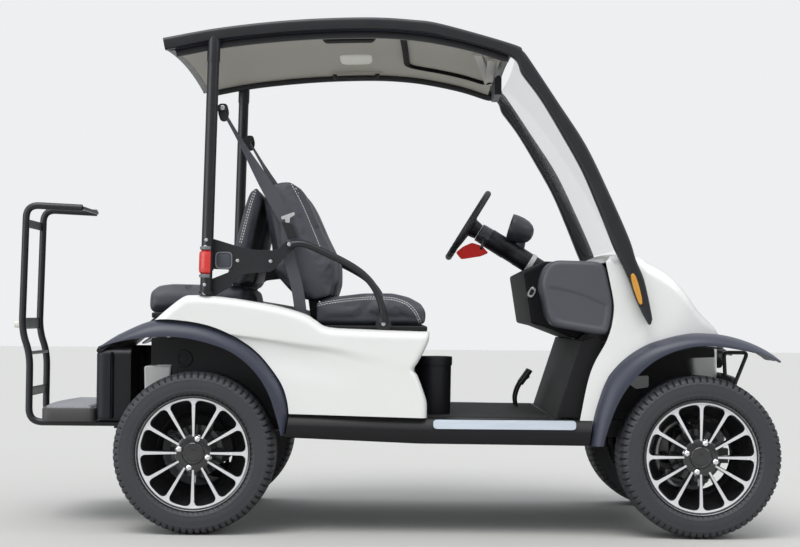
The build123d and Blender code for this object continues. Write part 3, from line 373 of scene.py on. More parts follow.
def spoke(wheel, angle):
    """One spoke: across it, a flat face, two small bevels and two walls that lean out by
    2 mm; along it, the half width grows evenly and then by the corner circle at the band."""
    reach = BAND_IN - 55
    along = 55 + reach * np.linspace(0, 1, 46) ** 0.8
    share = (along - 60) / (BAND_IN - 60)
    wide = SPOKE_WIDE[0] + (SPOKE_WIDE[1] - SPOKE_WIDE[0]) * np.clip(share, 0, 1)
    short = np.clip(SPOKE_ROUND - (BAND_IN - along), 0, SPOKE_ROUND)
    wide = wide + SPOKE_ROUND - np.sqrt(SPOKE_ROUND**2 - short**2)
    face = BAND_FACE - 2 - 7 * np.clip(1 - share, 0, 1) ** 2
    sides = np.array([-1, -0.5, 0, 0.5, 1, 1, 1, -1, -1])
    grow = np.array([-1, -0.5, 0, 0.5, 1, 0, -2.2, 2.2, 0])
    drop = np.array([0, 0, 0, 0, 0, 1, 24, 24, 1])
    offset = sides[None, :] * wide[:, None] - grow[None, :] * np.abs(sides)[None, :]
    radius = np.hypot(along[:, None], offset)
    radius = radius * np.where(along[:, None] > BAND_IN - SPOKE_ROUND, along[:, None] / radius, 1)
    turn = angle + np.arctan2(offset, along[:, None])
    points = turned(wheel, face[:, None] - drop[None, :], radius, turn)
    marks = np.where(np.arange(9) < 4, 0, 1)[None, :]
    return net(points, False, True, marks)


def nut(wheel, angle):
    """A wheel nut: six flats that round over into a dome, on a flat cone seat."""
    rise = np.array([60, 76, 77.2, 82, 86, 88.5, 89.3])
    radius = np.array([12.5, 12.5, 10.4, 10.2, 8.4, 5, 0.01])
    turn = whole_turn(24)
    flats = np.array([0, 0, 1, 1, 0.4, 0, 0])
    edge = 1 / np.cos((turn + np.pi / 6) % (np.pi / 3) - np.pi / 6) - 1
    swell = 1 + flats[:, None] * edge[None, :]
    x = NUT_CIRCLE * np.sin(angle) + radius[:, None] * swell * np.cos(turn)
    z = NUT_CIRCLE * np.cos(angle) + radius[:, None] * swell * np.sin(turn)
    points = turned(wheel, np.tile(rise[:, None], (1, 24)), np.hypot(x, z), np.arctan2(x, z))
    return net(points, False, True)


def corners_of(mesh):
    """A mesh's vertices as an array."""
    places = np.empty(3 * len(mesh.vertices))
    mesh.vertices.foreach_get("co", places)
    return places.reshape(-1, 3)


BARREL = [(-97, 171), (-97, 189), (-91, 189), (-88, 180), (-70, 178), (70, 178), (88, 180),
    (91, 189), (96, 189), (96, 187)]
BAND = [(96, 187), (92, BAND_OUT + 0.4), (BAND_FACE + 1, BAND_OUT), (BAND_FACE, BAND_OUT - 1.2),
    (BAND_FACE, 181), (BAND_FACE, BAND_IN + 1), (BAND_FACE - 1.2, BAND_IN)]
WELL = [(BAND_FACE - 1.2, BAND_IN), (BAND_FACE - 24, 171), (57, 167), (40, 158), (22, 146),
    (20, 144), (-46, 118), (-48, 117), (-50, 118.5), (-49, 121), (0, 146), (-20, 171)]
HUB = [(-26, 15.3), (-26, 87.5), (-18, 87.5), (-18, 59), (40, 57), (66, 57), (72, HUB_EDGE),
    (76.5, HUB_EDGE - 1), (78, HUB_EDGE - 4), (78.2, 38), (76.5, 36.5), (76.5, 35),
    (80.5, 34), (82, 32), (82, 29), (81, 28), (80.6, 24), (81.4, 12), (81.6, 0.01), (-26, 0.01)]
for wheel, (middle, side) in WHEELS.items():
    spokes = [spoke(wheel, k * 2 * np.pi / SPOKE_COUNT) for k in range(SPOKE_COUNT)]
    ring = [spun(wheel, BARREL, 144, 1, False), spun(wheel, BAND, 144, 0, False)]
    ring += [spun(wheel, WELL, 144, 1, False), spun(wheel, [WELL[-1], BARREL[0]], 144, 1, False)]
    body, node = f"wheel_{wheel}", f"rim_{wheel}"
    cast = [*spokes, *ring]
    rim = piece(f"{node}_casting", cast, [bright, gloss], "alloy", node, body=body, crease=30)
    places = corners_of(rim.data) - middle
    from_axle = rim.data.attributes.new("from_axle", "FLOAT", "POINT")
    from_axle.data.foreach_set("value", 1000 * np.hypot(places[:, 0], places[:, 2]))
    piece(f"hub_{wheel}", [spun(wheel, HUB, 96)], [gloss], "alloy", body=body, crease=30)
    nuts = [nut(wheel, np.radians(NUT_TURN + 90 * k)) for k in range(4)]
    piece(f"nuts_{wheel}", nuts, [plated], "alloy", body=body, crease=30)

# -----
# Fenders: four satin slate mouldings, bolted round the arches. Each has a flat cover over
# the tyre, rolls over in a quarter round towards the side and ends in a turned-in lip.
SLATE = (0.021, 0.026, 0.048)
FENDER_OUT, FENDER_LIP, FENDER_WALL = 0.59, 0.062, 0.006
TYRE_RADIUS = HUB_Z
# (degrees up from forward, gap to the tyre in mm), from the low end to the tip
FRONT_OUTER = [(174.8, 101), (168.3, 102), (161.9, 105.5), (151.1, 116), (141.9, 130),
    (133.7, 136), (125.8, 139), (115.5, 140), (106.1, 137.5), (95.1, 139),
    (84.5, 141.5), (67, 145.5), (49.6, 152)]
FRONT_INNER = [(173.8, 57), (158.2, 54), (134.9, 68), (115.8, 85), (94.4, 97), (71.8, 107),
    (50, 141)]
REAR_OUTER = [(11.7, 39), (17.2, 55), (22.7, 70.5), (29.8, 85), (37.7, 98.5), (48.5, 110),
    (60.4, 126), (70.9, 138), (82.5, 153), (95, 169), (107.2, 189), (120.2, 194),
    (133, 204)]
REAR_INNER = [(11.8, 26), (27.5, 34), (50.9, 65), (70.7, 88), (87, 102), (111.6, 140),
    (133.3, 200)]

slate = Finish("satin_slate_moulding", SLATE, 0.4)
slate.uneven(0.34, 0.14, 7, 4)
slate.clouded(11, 6, (0.062, 0.066, 0.08), 0.4)
slate.grained(1100, 0.00015, 0.3)


def round_arch(axle_x, table, count):
    """Points (x, z) in metres round a wheel, on a smooth line through a table of angles and
    gaps: x = axle + r cos a and z = hub + r sin a, where r is the tyre's radius and the gap."""
    angle, gap = curve(table, count).T
    radius = TYRE_RADIUS + gap / 1000
    angle = np.radians(angle)
    return grid(axle_x + radius * np.cos(angle), HUB_Z + radius * np.sin(angle))


def evened(line, count):
    """The same line with its points spaced evenly along it."""
    step = np.linalg.norm(np.diff(line, axis=0), axis=1)
    along = np.concatenate([[0], np.cumsum(step)])
    place = np.linspace(0, along[-1], count)
    return np.stack([np.interp(place, along, line[:, k]) for k in range(line.shape[1])], axis=-1)


def shell(outside, inside, finish=0):
    """A closed sheet between two nets of the same size: both nets and the four rims."""
    rims = [np.stack([outside[k], inside[k]]) for k in (0, -1)]
    rims += [np.stack([outside[:, k], inside[:, k]]) for k in (0, -1)]
    return [net(each, finish=finish) for each in (outside, inside, *rims)]


def at_side(line, width):
    """Points (x, z) set at widths (y)."""
    return grid(line[..., 0], width, line[..., 1])


def fender(axle_x, outer, inner, inboard, tip_round):
    """From inboard to the rim, at each place round the arch: a flat cover at the outer line,
    then a quarter ellipse down to the inner line, y = out - lip + lip sin a and a place
    between the two lines by cos a, then a lip that turns in. Near the tip the rim draws in."""
    count = 96
    high = evened(round_arch(axle_x, outer, 400), count)
    low = evened(round_arch(axle_x, inner, 400), count)
    along = np.linspace(0, 1, count)
    draw = tip_round * np.clip((along - 0.86) / 0.14, 0, 1) ** 2.5
    turn = np.radians(np.linspace(0, 90, 12))
    layers = []
    for wall in (0, FENDER_WALL):
        rim = FENDER_OUT - draw - wall
        drop = (high - low) / np.linalg.norm(high - low, axis=1)[:, None]
        top = high - drop * wall
        covers = [at_side(top, y) for y in np.linspace(inboard, 0.528, 8)]
        for each in covers:
            each[:, 1] = np.minimum(each[:, 1], rim - FENDER_LIP)
        rolls = [
            at_side(low + (top - low) * np.cos(a), rim - FENDER_LIP * (1 - np.sin(a)))
            for a in turn[1:]
        ]
        lip = [at_side(low + drop * wall, rim - turned_in + wall * 0.5) for turned_in in (0.004, 0.022)]
        layers.append(np.stack(covers + rolls + lip))
    return shell(*layers)


for ends, axle_x, outer, inner, inboard in (
    ("front", XF, FRONT_OUTER, FRONT_INNER, 0.3),
    ("rear", XR, REAR_OUTER, REAR_INNER, 0.42),
):
    shape = pair(fender(axle_x, outer, inner, inboard, 0.035))
    piece(f"{ends}_fender_mouldings", shape, [slate], "slate_trim", f"{ends}_fenders")

# -----
# Body sides: glossy off-white moulded panels, from the rear arches to the foot space, with
# a soft crease that sweeps down from over the arch and fades out towards the front.
OFF_WHITE = (0.8, 0.805, 0.79)
BODY_OUT, BODY_DEEP, CREASE_STEP = 0.575, 0.06, 0.012
BODY_TOP = [(-135, 702), (-88, 744), (-41, 779), (-9, 785), (53, 783), (123, 776), (164, 770),
    (274, 751), (363, 725), (396, 705), (440, 683), (560, 677), (690, 673), (772, 671)]
BODY_FRONT = [(772, 671), (769, 640), (754, 606), (736, 572), (721, 545), (734, 525),
    (752, 478), (764, 437), (765, 387.3)]
CREASE = [(-300, 705), (-60, 680), (117, 652), (280, 630), (447, 600), (549, 567), (633, 545),
    (770, 500)]
ARCH_MEETS_SILL = 22.7

paint = Finish("off_white_paint", OFF_WHITE, 0.22, Coat_Weight=0.5, Coat_Roughness=0.05)
paint.uneven(0.19, 0.08, 5, 4)
paint.clouded(3, 5, (0.77, 0.77, 0.75), 0.35)
low_dust = (0.52 - paint.axes(paint.place())[2]) * 5
paint.tint(low_dust.most(0).least(1) * paint.noise(22, 6), (0.66, 0.63, 0.58), 0.22)
paint.grained(160, 0.00006, 0.25)


def patch(low, high, start, end):
    """A surface between four lines that share their ends: the average of its two ruled
    surfaces less the corners' (Coons' patch). low and high run along it, start and end up."""
    u = np.linspace(0, 1, len(low))[:, None, None]
    v = np.linspace(0, 1, len(start))[None, :, None]
    across = (1 - v) * low[:, None] + v * high[:, None]
    upward = (1 - u) * start[None] + u * end[None]
    corners = (1 - u) * ((1 - v) * low[0] + v * high[0]) + u * ((1 - v) * low[-1] + v * high[-1])
    return across + upward - corners


def smooth_step(value):
    """0 below 0, 1 above 1 and the cubic 3t2 - 2t3 between them."""
    t = np.clip(value, 0, 1)
    return t * t * (3 - 2 * t)


def behind(axle_x, points):
    """Points (mm from an axle, mm up) in metres in the car's frame."""
    return np.asarray(points, float) / 1000 + [axle_x, 0]


def joined(parts, counts):
    """Lines that follow one another, each with its own number of evenly spaced points."""
    lines = [evened(part, count + 1) for part, count in zip(parts, counts)]
    return np.vstack([lines[0], *[line[1:] for line in lines[1:]]])


arch_line = round_arch(XR, REAR_OUTER, 400)
arch_angle = curve(REAR_OUTER, 400)[:, 0]
arch_line = arch_line[(arch_angle >= ARCH_MEETS_SILL) & (arch_angle <= 107.4)][::-1]
body_top = behind(XR, curve(BODY_TOP, 300))
body_top[0] = arch_line[0]
split = np.argmin(np.abs(body_top[:, 0] - XR - 0.385))
body_front = behind(XR, curve(BODY_FRONT, 200))[::-1]
sill_run = np.stack([arch_line[-1], body_front[0]])
bottom = joined([arch_line, sill_run], [70, 60])
top = joined([body_top[: split + 1], body_top[split:]], [70, 60])
rear_tip = np.repeat(top[:1], 48, axis=0)
face = patch(bottom, top, rear_tip, evened(body_front, 48))
crease_line = behind(XR, curve(CREASE, 200))
above = face[..., 1] - np.interp(face[..., 0], crease_line[:, 0], crease_line[:, 1])
fade = 0.15 + 0.85 * smooth_step((XR + 0.66 - face[..., 0]) / 0.34)
step = smooth_step((above + 0.004) / (0.01 + 0.05 * (1 - fade))) * CREASE_STEP * fade
scoop = 0.01 * np.exp(-(((above + 0.05) / 0.05) ** 2)) * fade
u = np.linspace(0, 1, len(bottom))[:, None]
near_top = np.clip(top[:, None, 1] - face[..., 1], 0, None)
near_front = np.clip((1 - u) * 0.9, 0, None)
roll_top = 0.03 * (1 - np.sqrt(1 - np.clip(1 - near_top / 0.03, 0, 1) ** 2))
roll_front = 0.022 * (1 - np.sqrt(1 - np.clip(1 - near_front / 0.022, 0, 1) ** 2))
out = BODY_OUT - CREASE_STEP * fade + step - scoop * 0.6 - roll_top - roll_front
panel_out = at_side(face, out)
panel_in = at_side(face, BODY_OUT - BODY_DEEP)
panels = pair(shell(panel_out, panel_in))
piece("body_side_panels", panels, [paint], "white_body", "body_sides", crease=42)

# -----
# Front body: one glossy off-white moulding from the foot space's edge to the nose. Its
# sides stand upright behind the arches, roll over into a crowned bonnet and draw in ahead.
DOOR_EDGE = [(-395, 383), (-372, 500), (-350, 568), (-317, 627), (-305, 652), (-291, 696),
    (-284, 749), (-287, 788), (-299, 846), (-312, 906)]
HOOD = [(-312, 906), (-305, 918), (-293, 936), (-277, 944), (-247, 945), (-217, 943), (-190, 937),
    (-164, 919), (-114, 893), (-74, 864), (-29, 818), (7, 775), (50, 735), (84, 706), (116, 669)]
NOSE_PLAN = [(-400, 545), (-340, 545), (-200, 532), (-164, 526), (-60, 499), (20, 429),
    (84, 329), (117, 249)]
HOOD_CROWN, HOOD_CORNER, HOOD_WALL = 0.014, 0.046, 0.006


def normals(points):
    """Unit normals of a net, from the cross product of its two gradients."""
    along = np.gradient(points, axis=0)
    up = np.gradient(points, axis=1)
    facing = np.cross(along, up)
    return facing / np.maximum(np.linalg.norm(facing, axis=-1, keepdims=True), 1e-9)


def walled(points, wall, away):
    """A closed sheet: the net and its copy, wall metres along the normals, on the side that
    faces the point away."""
    facing = normals(points)
    turn = np.sign(np.sum(facing * (np.asarray(away) - points), axis=-1, keepdims=True))
    turn[turn == 0] = 1
    return shell(points, points + facing * turn * wall)


arch_front = round_arch(XF, FRONT_OUTER, 400)
arch_front = arch_front[arch_front[:, 0] < XF + 0.116]
foot_corner = behind(XF, [DOOR_EDGE[0]])
bottom = evened(np.vstack([foot_corner, arch_front]), 110)
hood = behind(XF, curve(HOOD, 300))
door = evened(behind(XF, curve(DOOR_EDGE, 200)), 44)
corner = np.clip((hood[:, 0] - hood[0, 0]) / 0.035, 0, 1)
room = np.clip((hood[:, 1] - 0.655) / 0.1, 0.1, 1)
corner_z = HOOD_CORNER * corner * room
crown_z = HOOD_CROWN * corner * room
pick = np.linspace(0, 1, 300)
shoulder = grid(hood[:, 0], hood[:, 1] - corner_z - crown_z)
even = evened(shoulder, 110)
pick_even = np.interp(even[:, 0], hood[:, 0], pick)
corner_z = np.interp(pick_even, pick, corner_z)[:, None]
crown_z = np.interp(pick_even, pick, crown_z)[:, None]
nose_end = np.linspace(bottom[-1], even[-1], 44)
side_face = patch(bottom, even, door, nose_end)
plan_x, plan_half = behind(XF, curve(NOSE_PLAN, 200)).T
half_wide = np.interp(side_face[..., 0], plan_x, plan_half)
side_points = at_side(side_face, half_wide)
edge_half = half_wide[:, -1:]
corner_y = np.minimum(0.055, edge_half * 0.4) * np.clip(corner_z / 0.03, 0.15, 1)
turn = np.radians(np.linspace(0, 90, 12))[None, 1:]
roll_z = even[:, 1:] + corner_z * np.sin(turn)
roll_y = edge_half - corner_y * (1 - np.cos(turn))
across = np.linspace(1, -1, 41)[None, 1:]
flat_half = edge_half - corner_y
flat_y = flat_half * across
flat_z = even[:, 1:] + corner_z + crown_z * (1 - across**2)
one_side = np.concatenate([side_points, grid(even[:, :1], roll_y, roll_z)], axis=1)
other_side = (one_side * [1, -1, 1])[:, ::-1]
bonnet = grid(even[:, :1], flat_y, flat_z)
skin = np.concatenate([one_side, bonnet[:, :-1], other_side], axis=1)
front_body = walled(skin, HOOD_WALL, (XF - 0.15, 0, 0.55))


def closed_ends(rings):
    """A net whose first and last rings draw in to their middles, so that it is closed."""
    middles = [np.broadcast_to(ring.mean(axis=0), ring.shape)[None] for ring in (rings[0], rings[-1])]
    return net(np.concatenate([middles[0], rings, middles[1]]), False, True)


LOWER_NOSE = [(0.4, 0.036, 0.112), (0.44, 0.03, 0.1165), (0.6, 0.012, 0.117), (0.664, 0.006, 0.1165)]


def lower_nose():
    """The upright front panel: a rounded box whose plan is a superellipse of power 9, with
    its back edge leaning as the table of (height, back, front) gives."""
    height, back, front = curve(LOWER_NOSE, 24).T[:, :, None]
    turn = whole_turn(96)[None]
    reach = (np.abs(np.cos(turn)) ** 9 + np.abs(np.sin(turn)) ** 9) ** (-1 / 9)
    x = XF + (front + back) / 2 + (front - back) / 2 * reach * np.cos(turn)
    rings = grid(x, 0.248 * reach * np.sin(turn), height)
    return closed_ends(rings)


piece("front_body", [*front_body, lower_nose()], [paint], "white_body", "nose", "cowl_sides", crease=34)

# -----
# Roof frame: two black rails of rounded box section that carry on down as the screen
# pillars and end in points on the cowl, with a beam across the back and a header ahead.
RAIL_MIDDLE, RAIL_HALF_WIDE = 0.55, 0.02
RAIL_TOP = [(-117, 1634), (50, 1666), (227, 1689.3), (400, 1703), (574, 1708), (700, 1702),
    (805, 1688)]
RAIL_LOW = [(-109, 1594), (50, 1627), (233, 1649.6), (400, 1663), (574, 1668), (700, 1662),
    (800, 1648)]
PILLAR_FRONT = [(-627, 1624), (-592, 1601), (-563, 1563), (-475, 1432), (-384, 1294),
    (-310, 1145), (-240, 989), (-215, 913), (-188, 847), (-163, 732), (-164, 712)]
PILLAR_BACK = [(-641, 1587), (-592, 1520), (-532, 1440), (-462, 1325), (-395, 1206),
    (-342, 1085), (-286, 948), (-245, 864), (-212, 776), (-176, 706), (-166, 702)]
SATIN_BLACK = (0.008, 0.008, 0.011)

coat = Finish("satin_black_coat", SATIN_BLACK, 0.36)
coat.uneven(0.3, 0.14, 12, 4)
coat.clouded(16, 6, (0.024, 0.024, 0.026), 0.35)
coat.grained(1400, 0.0001, 0.3)


def rounded_ring(power, count):
    """Points round a superellipse: reach 1 at its sides, squarer as the power grows."""
    turn = whole_turn(count)
    reach = (np.abs(np.cos(turn)) ** power + np.abs(np.sin(turn)) ** power) ** (-1 / power)
    return reach * np.cos(turn), reach * np.sin(turn)


def bow():
    """One rail and its pillar: a rounded box between the outer and the inner line."""
    outer = np.vstack([behind(XR, RAIL_TOP), behind(XF, PILLAR_FRONT)])
    inner = np.vstack([behind(XR, RAIL_LOW), behind(XF, PILLAR_BACK)])
    outer, inner = curve(outer, 240), curve(inner, 240)
    middle, reach = (outer + inner) / 2, (outer - inner) / 2
    up, side = rounded_ring(5, 28)
    plane = middle[:, None] + reach[:, None] * up[None, :, None]
    low_in = np.interp(middle[:, 1], [0.7, 0.913, 0.99], [0.0155, 0, 0])
    half = RAIL_HALF_WIDE - low_in[:, None] / 2
    width = RAIL_MIDDLE + low_in[:, None] / 2 + half * side[None]
    return closed_ends(grid(plane[..., 0], width, plane[..., 1]))


def beam(x_low, x_high, z_low, z_high):
    """A rounded box across the roof, bowed up in the middle by a 7 m radius."""
    width = np.linspace(-0.536, 0.536, 60)[:, None]
    up, side = rounded_ring(5, 24)
    sag = width**2 / 14
    x = (x_low + x_high) / 2 + (x_high - x_low) / 2 * side[None] + 0 * width
    z = (z_low + z_high) / 2 + (z_high - z_low) / 2 * up[None] - sag + 0.02
    return closed_ends(grid(x, width, z))


beams = [beam(XR - 0.112, XR - 0.082, 1.596, 1.634), beam(XF - 0.652, XF - 0.618, 1.596, 1.627)]
piece("roof_bows", [*pair([bow()]), *beams], [coat], "dark_tube", "roof_frame", crease=40)

# -----
# Seats: foam pads in charcoal leather, sewn with twin white thread round the side panels.
# Two front cushions and backrests face ahead, and two rear cushions and backs face behind.
LEATHER = (0.053, 0.055, 0.07)
THREAD = (0.85, 0.85, 0.83)
CUSHION = [(383, 689), (382, 764), (438, 776), (549, 790), (649, 791), (705, 778), (738, 761),
    (766, 750), (772, 730), (769, 689)]
BACKREST = [(384, 766), (300, 806), (245, 870), (245, 945), (212, 1130), (222, 1165), (265, 1180),
    (304, 1183), (321, 1161), (355, 1100), (395, 1010), (423, 955), (446, 899), (447, 779)]
REAR_CUSHION = [(-178, 727), (-183, 745), (-181, 794), (-169, 806), (-107, 814), (19, 812),
    (150, 811), (160, 727)]
REAR_BACK = [(84, 812.5), (119, 952), (138, 1031), (154, 1092), (176, 1159), (193, 1165),
    (204, 1132), (177, 1031), (161, 947), (137, 812.5)]
SEAT_IN, SEAT_OUT = 0.022, 0.445
PAD_START = 0.006  # the pad starts smaller by this much, because the foam swells
VOXEL, PRESSURE, SWELL_MOST = 0.0062, 4, 0.012
STITCH_LONG, STITCH_GAP, STITCH_THICK = 0.0064, 0.0024, 0.0013

leather = Finish("charcoal_leather", LEATHER, 0.42)
cells = leather.node(
    "TexVoronoi", {"feature": "DISTANCE_TO_EDGE"}, {"Vector": leather.place(), "Scale": 420}
)
leather.uneven(0.44, 0.16, 20, 4)
leather.clouded(10, 5, (0.075, 0.076, 0.09), 0.45)
leather.bump((cells * 6).least(1), 0.00035, 0.45)
leather.bump(leather.noise(34, 3), 0.0016, 0.35)
thread = Finish("white_thread", THREAD, 0.7)
thread.grained(3000, 0.0002, 0.6)


def rounded(points, cut, steps=7):
    """A closed outline with its corners cut back by cut metres and rounded: between the two
    cuts it is the quadratic curve (1-t)2 A + 2t(1-t) P + t2 B of corner P."""
    points = np.asarray(points, float)
    before, after = np.roll(points, 1, axis=0), np.roll(points, -1, axis=0)
    back, ahead = before - points, after - points
    back_long, ahead_long = (np.linalg.norm(side, axis=1, keepdims=True) for side in (back, ahead))
    a = points + back / back_long * np.minimum(cut, 0.48 * back_long)
    b = points + ahead / ahead_long * np.minimum(cut, 0.48 * ahead_long)
    t = np.linspace(0, 1, steps)[None, :, None]
    arcs = (1 - t) ** 2 * a[:, None] + 2 * t * (1 - t) * points[:, None] + t**2 * b[:, None]
    return arcs.reshape(-1, 2)


def ring_outward(line):
    """Unit normals of a closed outline that point away from its inside."""
    along = np.roll(line, -1, axis=0) - np.roll(line, 1, axis=0)
    facing = grid(along[:, 1], -along[:, 0])
    area = np.sum(line[:, 0] * np.roll(line[:, 1], -1) - np.roll(line[:, 0], -1) * line[:, 1])
    return facing / np.maximum(np.linalg.norm(facing, axis=1, keepdims=True), 1e-9) * np.sign(area)


def pad(outline, axle_x, low, high, side_round, crown):
    """A padded form: at each width, the side outline moved in by a quarter round near the
    two side panels and out by crown (1 - t2) in between; each side panel draws to a middle."""
    ring = rounded(behind(axle_x, outline), 0.012)
    ring = evened(np.vstack([ring, ring[:1]]), 151)[:-1]
    facing = ring_outward(ring)
    half, middle = (high - low) / 2 - PAD_START, (high + low) / 2
    t = np.sin(np.linspace(-np.pi / 2, np.pi / 2, 44))
    near = np.clip((np.abs(t) * half - (half - side_round)) / side_round, 0, 1)
    move = crown * (1 - t**2) - side_round * (1 - np.sqrt(1 - near**2)) - PAD_START
    rows = ring[None] + facing[None] * move[:, None, None]
    rows = at_side(rows, (middle + half * t)[:, None])
    shrink = np.array([0, 0.25, 0.5, 0.75])[:, None, None]
    caps = []
    for end in (rows[0], rows[-1]):
        centre = end.mean(axis=0)
        caps.append(centre + (end - centre) * shrink)
    return net(np.concatenate([caps[0], rows, caps[1][::-1]]), False, True)


def baked(made, name):
    """Applies a piece's modifiers to a new mesh, which takes the old one's place."""
    graph = bpy.context.evaluated_depsgraph_get()
    mesh = bpy.data.meshes.new_from_object(made.evaluated_get(graph))
    mesh.name = name
    made.modifiers.clear()
    made.data = mesh
    return mesh


def swell(made):
    """Fills a pad: even cells, then cloth under inner pressure, moved by SWELL_MOST at the most,
    and one subdivision."""
    remesh = made.modifiers.new("cells", "REMESH")
    remesh.mode = "VOXEL"
    remesh.voxel_size = VOXEL
    before = corners_of(baked(made, f"{made.name}_cells"))
    cloth = made.modifiers.new("cloth", "CLOTH")
    cloth.settings.use_pressure = True
    cloth.settings.uniform_pressure_force = PRESSURE
    cloth.settings.effector_weights.gravity = 0
    cloth.settings.quality = 4
    cloth.settings.tension_stiffness = 12
    cloth.settings.bending_stiffness = 0.4
    for frame_number in range(1, 21):
        scene.frame_set(frame_number)
    mesh = baked(made, f"{made.name}_swollen")
    scene.frame_set(1)
    move = corners_of(mesh) - before
    length = np.linalg.norm(move, axis=1, keepdims=True)
    move *= np.minimum(1, SWELL_MOST / np.maximum(length, 1e-9))
    mesh.vertices.foreach_set("co", (before + move).ravel())
    made.data.shade_smooth()
    smooth = made.modifiers.new("smooth", "SUBSURF")
    smooth.levels = smooth.render_levels = 1


def other_side(made, name):
    """The same piece reflected to the car's other side."""
    twin = made.copy()
    twin.data = made.data.copy()
    twin.name = name
    places = corners_of(twin.data) * [1, -1, 1]
    twin.data.vertices.foreach_set("co", places.ravel())
    twin.data.flip_normals()
    scene.collection.objects.link(twin)
    return twin


SEATS = {
    # name: (outline, side panel's round, crown, fill)
    "front_cushion": (CUSHION, 0.008, 0.003, 0.8),
    "front_backrest": (BACKREST, 0.01, 0.003, 0.8),
    "rear_cushion": (REAR_CUSHION, 0.03, 0.006, 0.8),
    "rear_backrest": (REAR_BACK, 0.012, 0.003, 0.75),
}
for name, (outline, side_round, crown, fill) in SEATS.items():
    shape = pad(outline, XR, -SEAT_OUT, -SEAT_IN, side_round, crown)
    right = piece(f"{name}_right", [shape], [leather], "charcoal_leather")
    swell(right)
    left = other_side(right, f"{name}_left")
    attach(left, "chassis")
    for pad_piece in (right, left):
        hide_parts(f"{name}s")


def dashes(line, width):
    """Stitches along a line of points on the surface, each a small six-sided spindle that
    lies along the line and stands out of the surface at both sides."""
    length = np.linalg.norm(np.diff(line, axis=0), axis=1).sum()
    places = evened(line, max(3, int(length / (STITCH_LONG + STITCH_GAP))))
    along = unit(np.gradient(places, axis=0))
    out = np.zeros_like(along)
    out[:, 1] = width
    side = np.cross(along, out)
    turn = whole_turn(6)
    ring = np.cos(turn)[None, :, None] * out[:, None] + np.sin(turn)[None, :, None] * side[:, None]
    steps = np.array([-0.5, -0.32, 0.32, 0.5]) * STITCH_LONG
    reach = np.array([0.05, 1, 1, 0.05]) * STITCH_THICK
    spindles = places[:, None, None] + along[:, None, None] * steps[:, None, None]
    spindles = spindles + ring[:, None] * reach[:, None, None]
    return [net(spindle, False, True) for spindle in spindles]


def on_side(made, line, outward):
    """Points (x, z) carried sideways onto a piece's outer side panel, those that meet it."""
    graph = bpy.context.evaluated_depsgraph_get()
    solid = made.evaluated_get(graph)
    points = []
    for x, z in line:
        hit, place, _, _ = solid.ray_cast((x, outward * 0.7, z), (0, -outward, 0))
        if hit and outward * place.y > SEAT_OUT - 0.03:
            points.append(tuple(place))
    return np.array(points)


SEAMS = {
    # piece: lines on its side panel, mm from the rear axle
    "front_cushion": [
        [(392, 752), (438, 763), (549, 777), (640, 777), (690, 763), (718, 740), (733, 714), (740, 694)]
    ],
    "front_backrest": [[(300, 1172), (311, 1150), (343, 1090), (382, 1001), (402, 955)]],
    "rear_backrest": [[(137, 965), (153, 1031), (168, 1088), (184, 1140)]],
}
for name, lines in SEAMS.items():
    for side_name, outward in (("right", -1), ("left", 1)):
        made = bpy.data.objects[f"{name}_{side_name}"]
        stitches = []
        for line in lines:
            knots = behind(XR, curve(line, 120))
            across = ring_outward(knots)
            for shift in (0, 0.0065):
                on_leather = on_side(made, (knots + across * shift)[1:-1], outward)
                if len(on_leather) > 3:
                    stitches += dashes(on_leather, outward)
        if stitches:
            piece(f"{name}_thread_{side_name}", stitches, [thread], "charcoal_leather")

# -----
# Roof: a crowned moulded panel, slate above and beige below, let in between the two bows,
# with grip hollows at both edges, a dome lamp and a black tube loop near the header.
BEIGE = (0.44, 0.42, 0.365)
PANEL_TOP = [(-81, 1639), (70, 1669), (230, 1689.5), (400, 1703), (574, 1708), (700, 1702),
    (802, 1688), (915, 1664), (1012, 1633.5)]
PANEL_HALF, PANEL_THICK, CROWN_RADIUS = 0.527, 0.024, 7

beige = Finish("beige_roof_lining", BEIGE, 0.62)
beige.clouded(5, 5, (0.37, 0.355, 0.31), 0.4)
beige.grained(700, 0.0003, 0.3)
panel_line = behind(XR, curve(PANEL_TOP, 120))


def roof_under(x, y):
    """The height of the roof's underside: the crowned top line less y2 / 2R and its depth."""
    top = np.interp(x, panel_line[:, 0], panel_line[:, 1])
    return top - y**2 / (2 * CROWN_RADIUS) - PANEL_THICK


def roof_panel():
    """Its top: the top line dropped by y2 / 2R, with two shallow ribs along it."""
    width = np.linspace(-PANEL_HALF, PANEL_HALF, 97)[None]
    x = panel_line[:, :1]
    edge = smooth_step((PANEL_HALF - np.abs(width)) / 0.02)
    ends = smooth_step((x - x[0, 0]) / 0.12) * smooth_step((x[-1, 0] - x) / 0.12)
    rib = np.exp(-(((np.abs(width) - 0.27) / 0.05) ** 4)) * ends * 0.006
    top = panel_line[:, 1:] - width**2 / (2 * CROWN_RADIUS) - 0.007 * edge + rib
    under = roof_under(x, width)
    upper = grid(x, width, top)
    lower = grid(x, width, under)
    nets = [net(upper, finish=0), net(lower, finish=1)]
    nets += [net(np.stack([upper[k], lower[k]]), finish=0) for k in (0, -1)]
    nets += [net(np.stack([upper[:, k], lower[:, k]]), finish=0) for k in (0, -1)]
    return nets


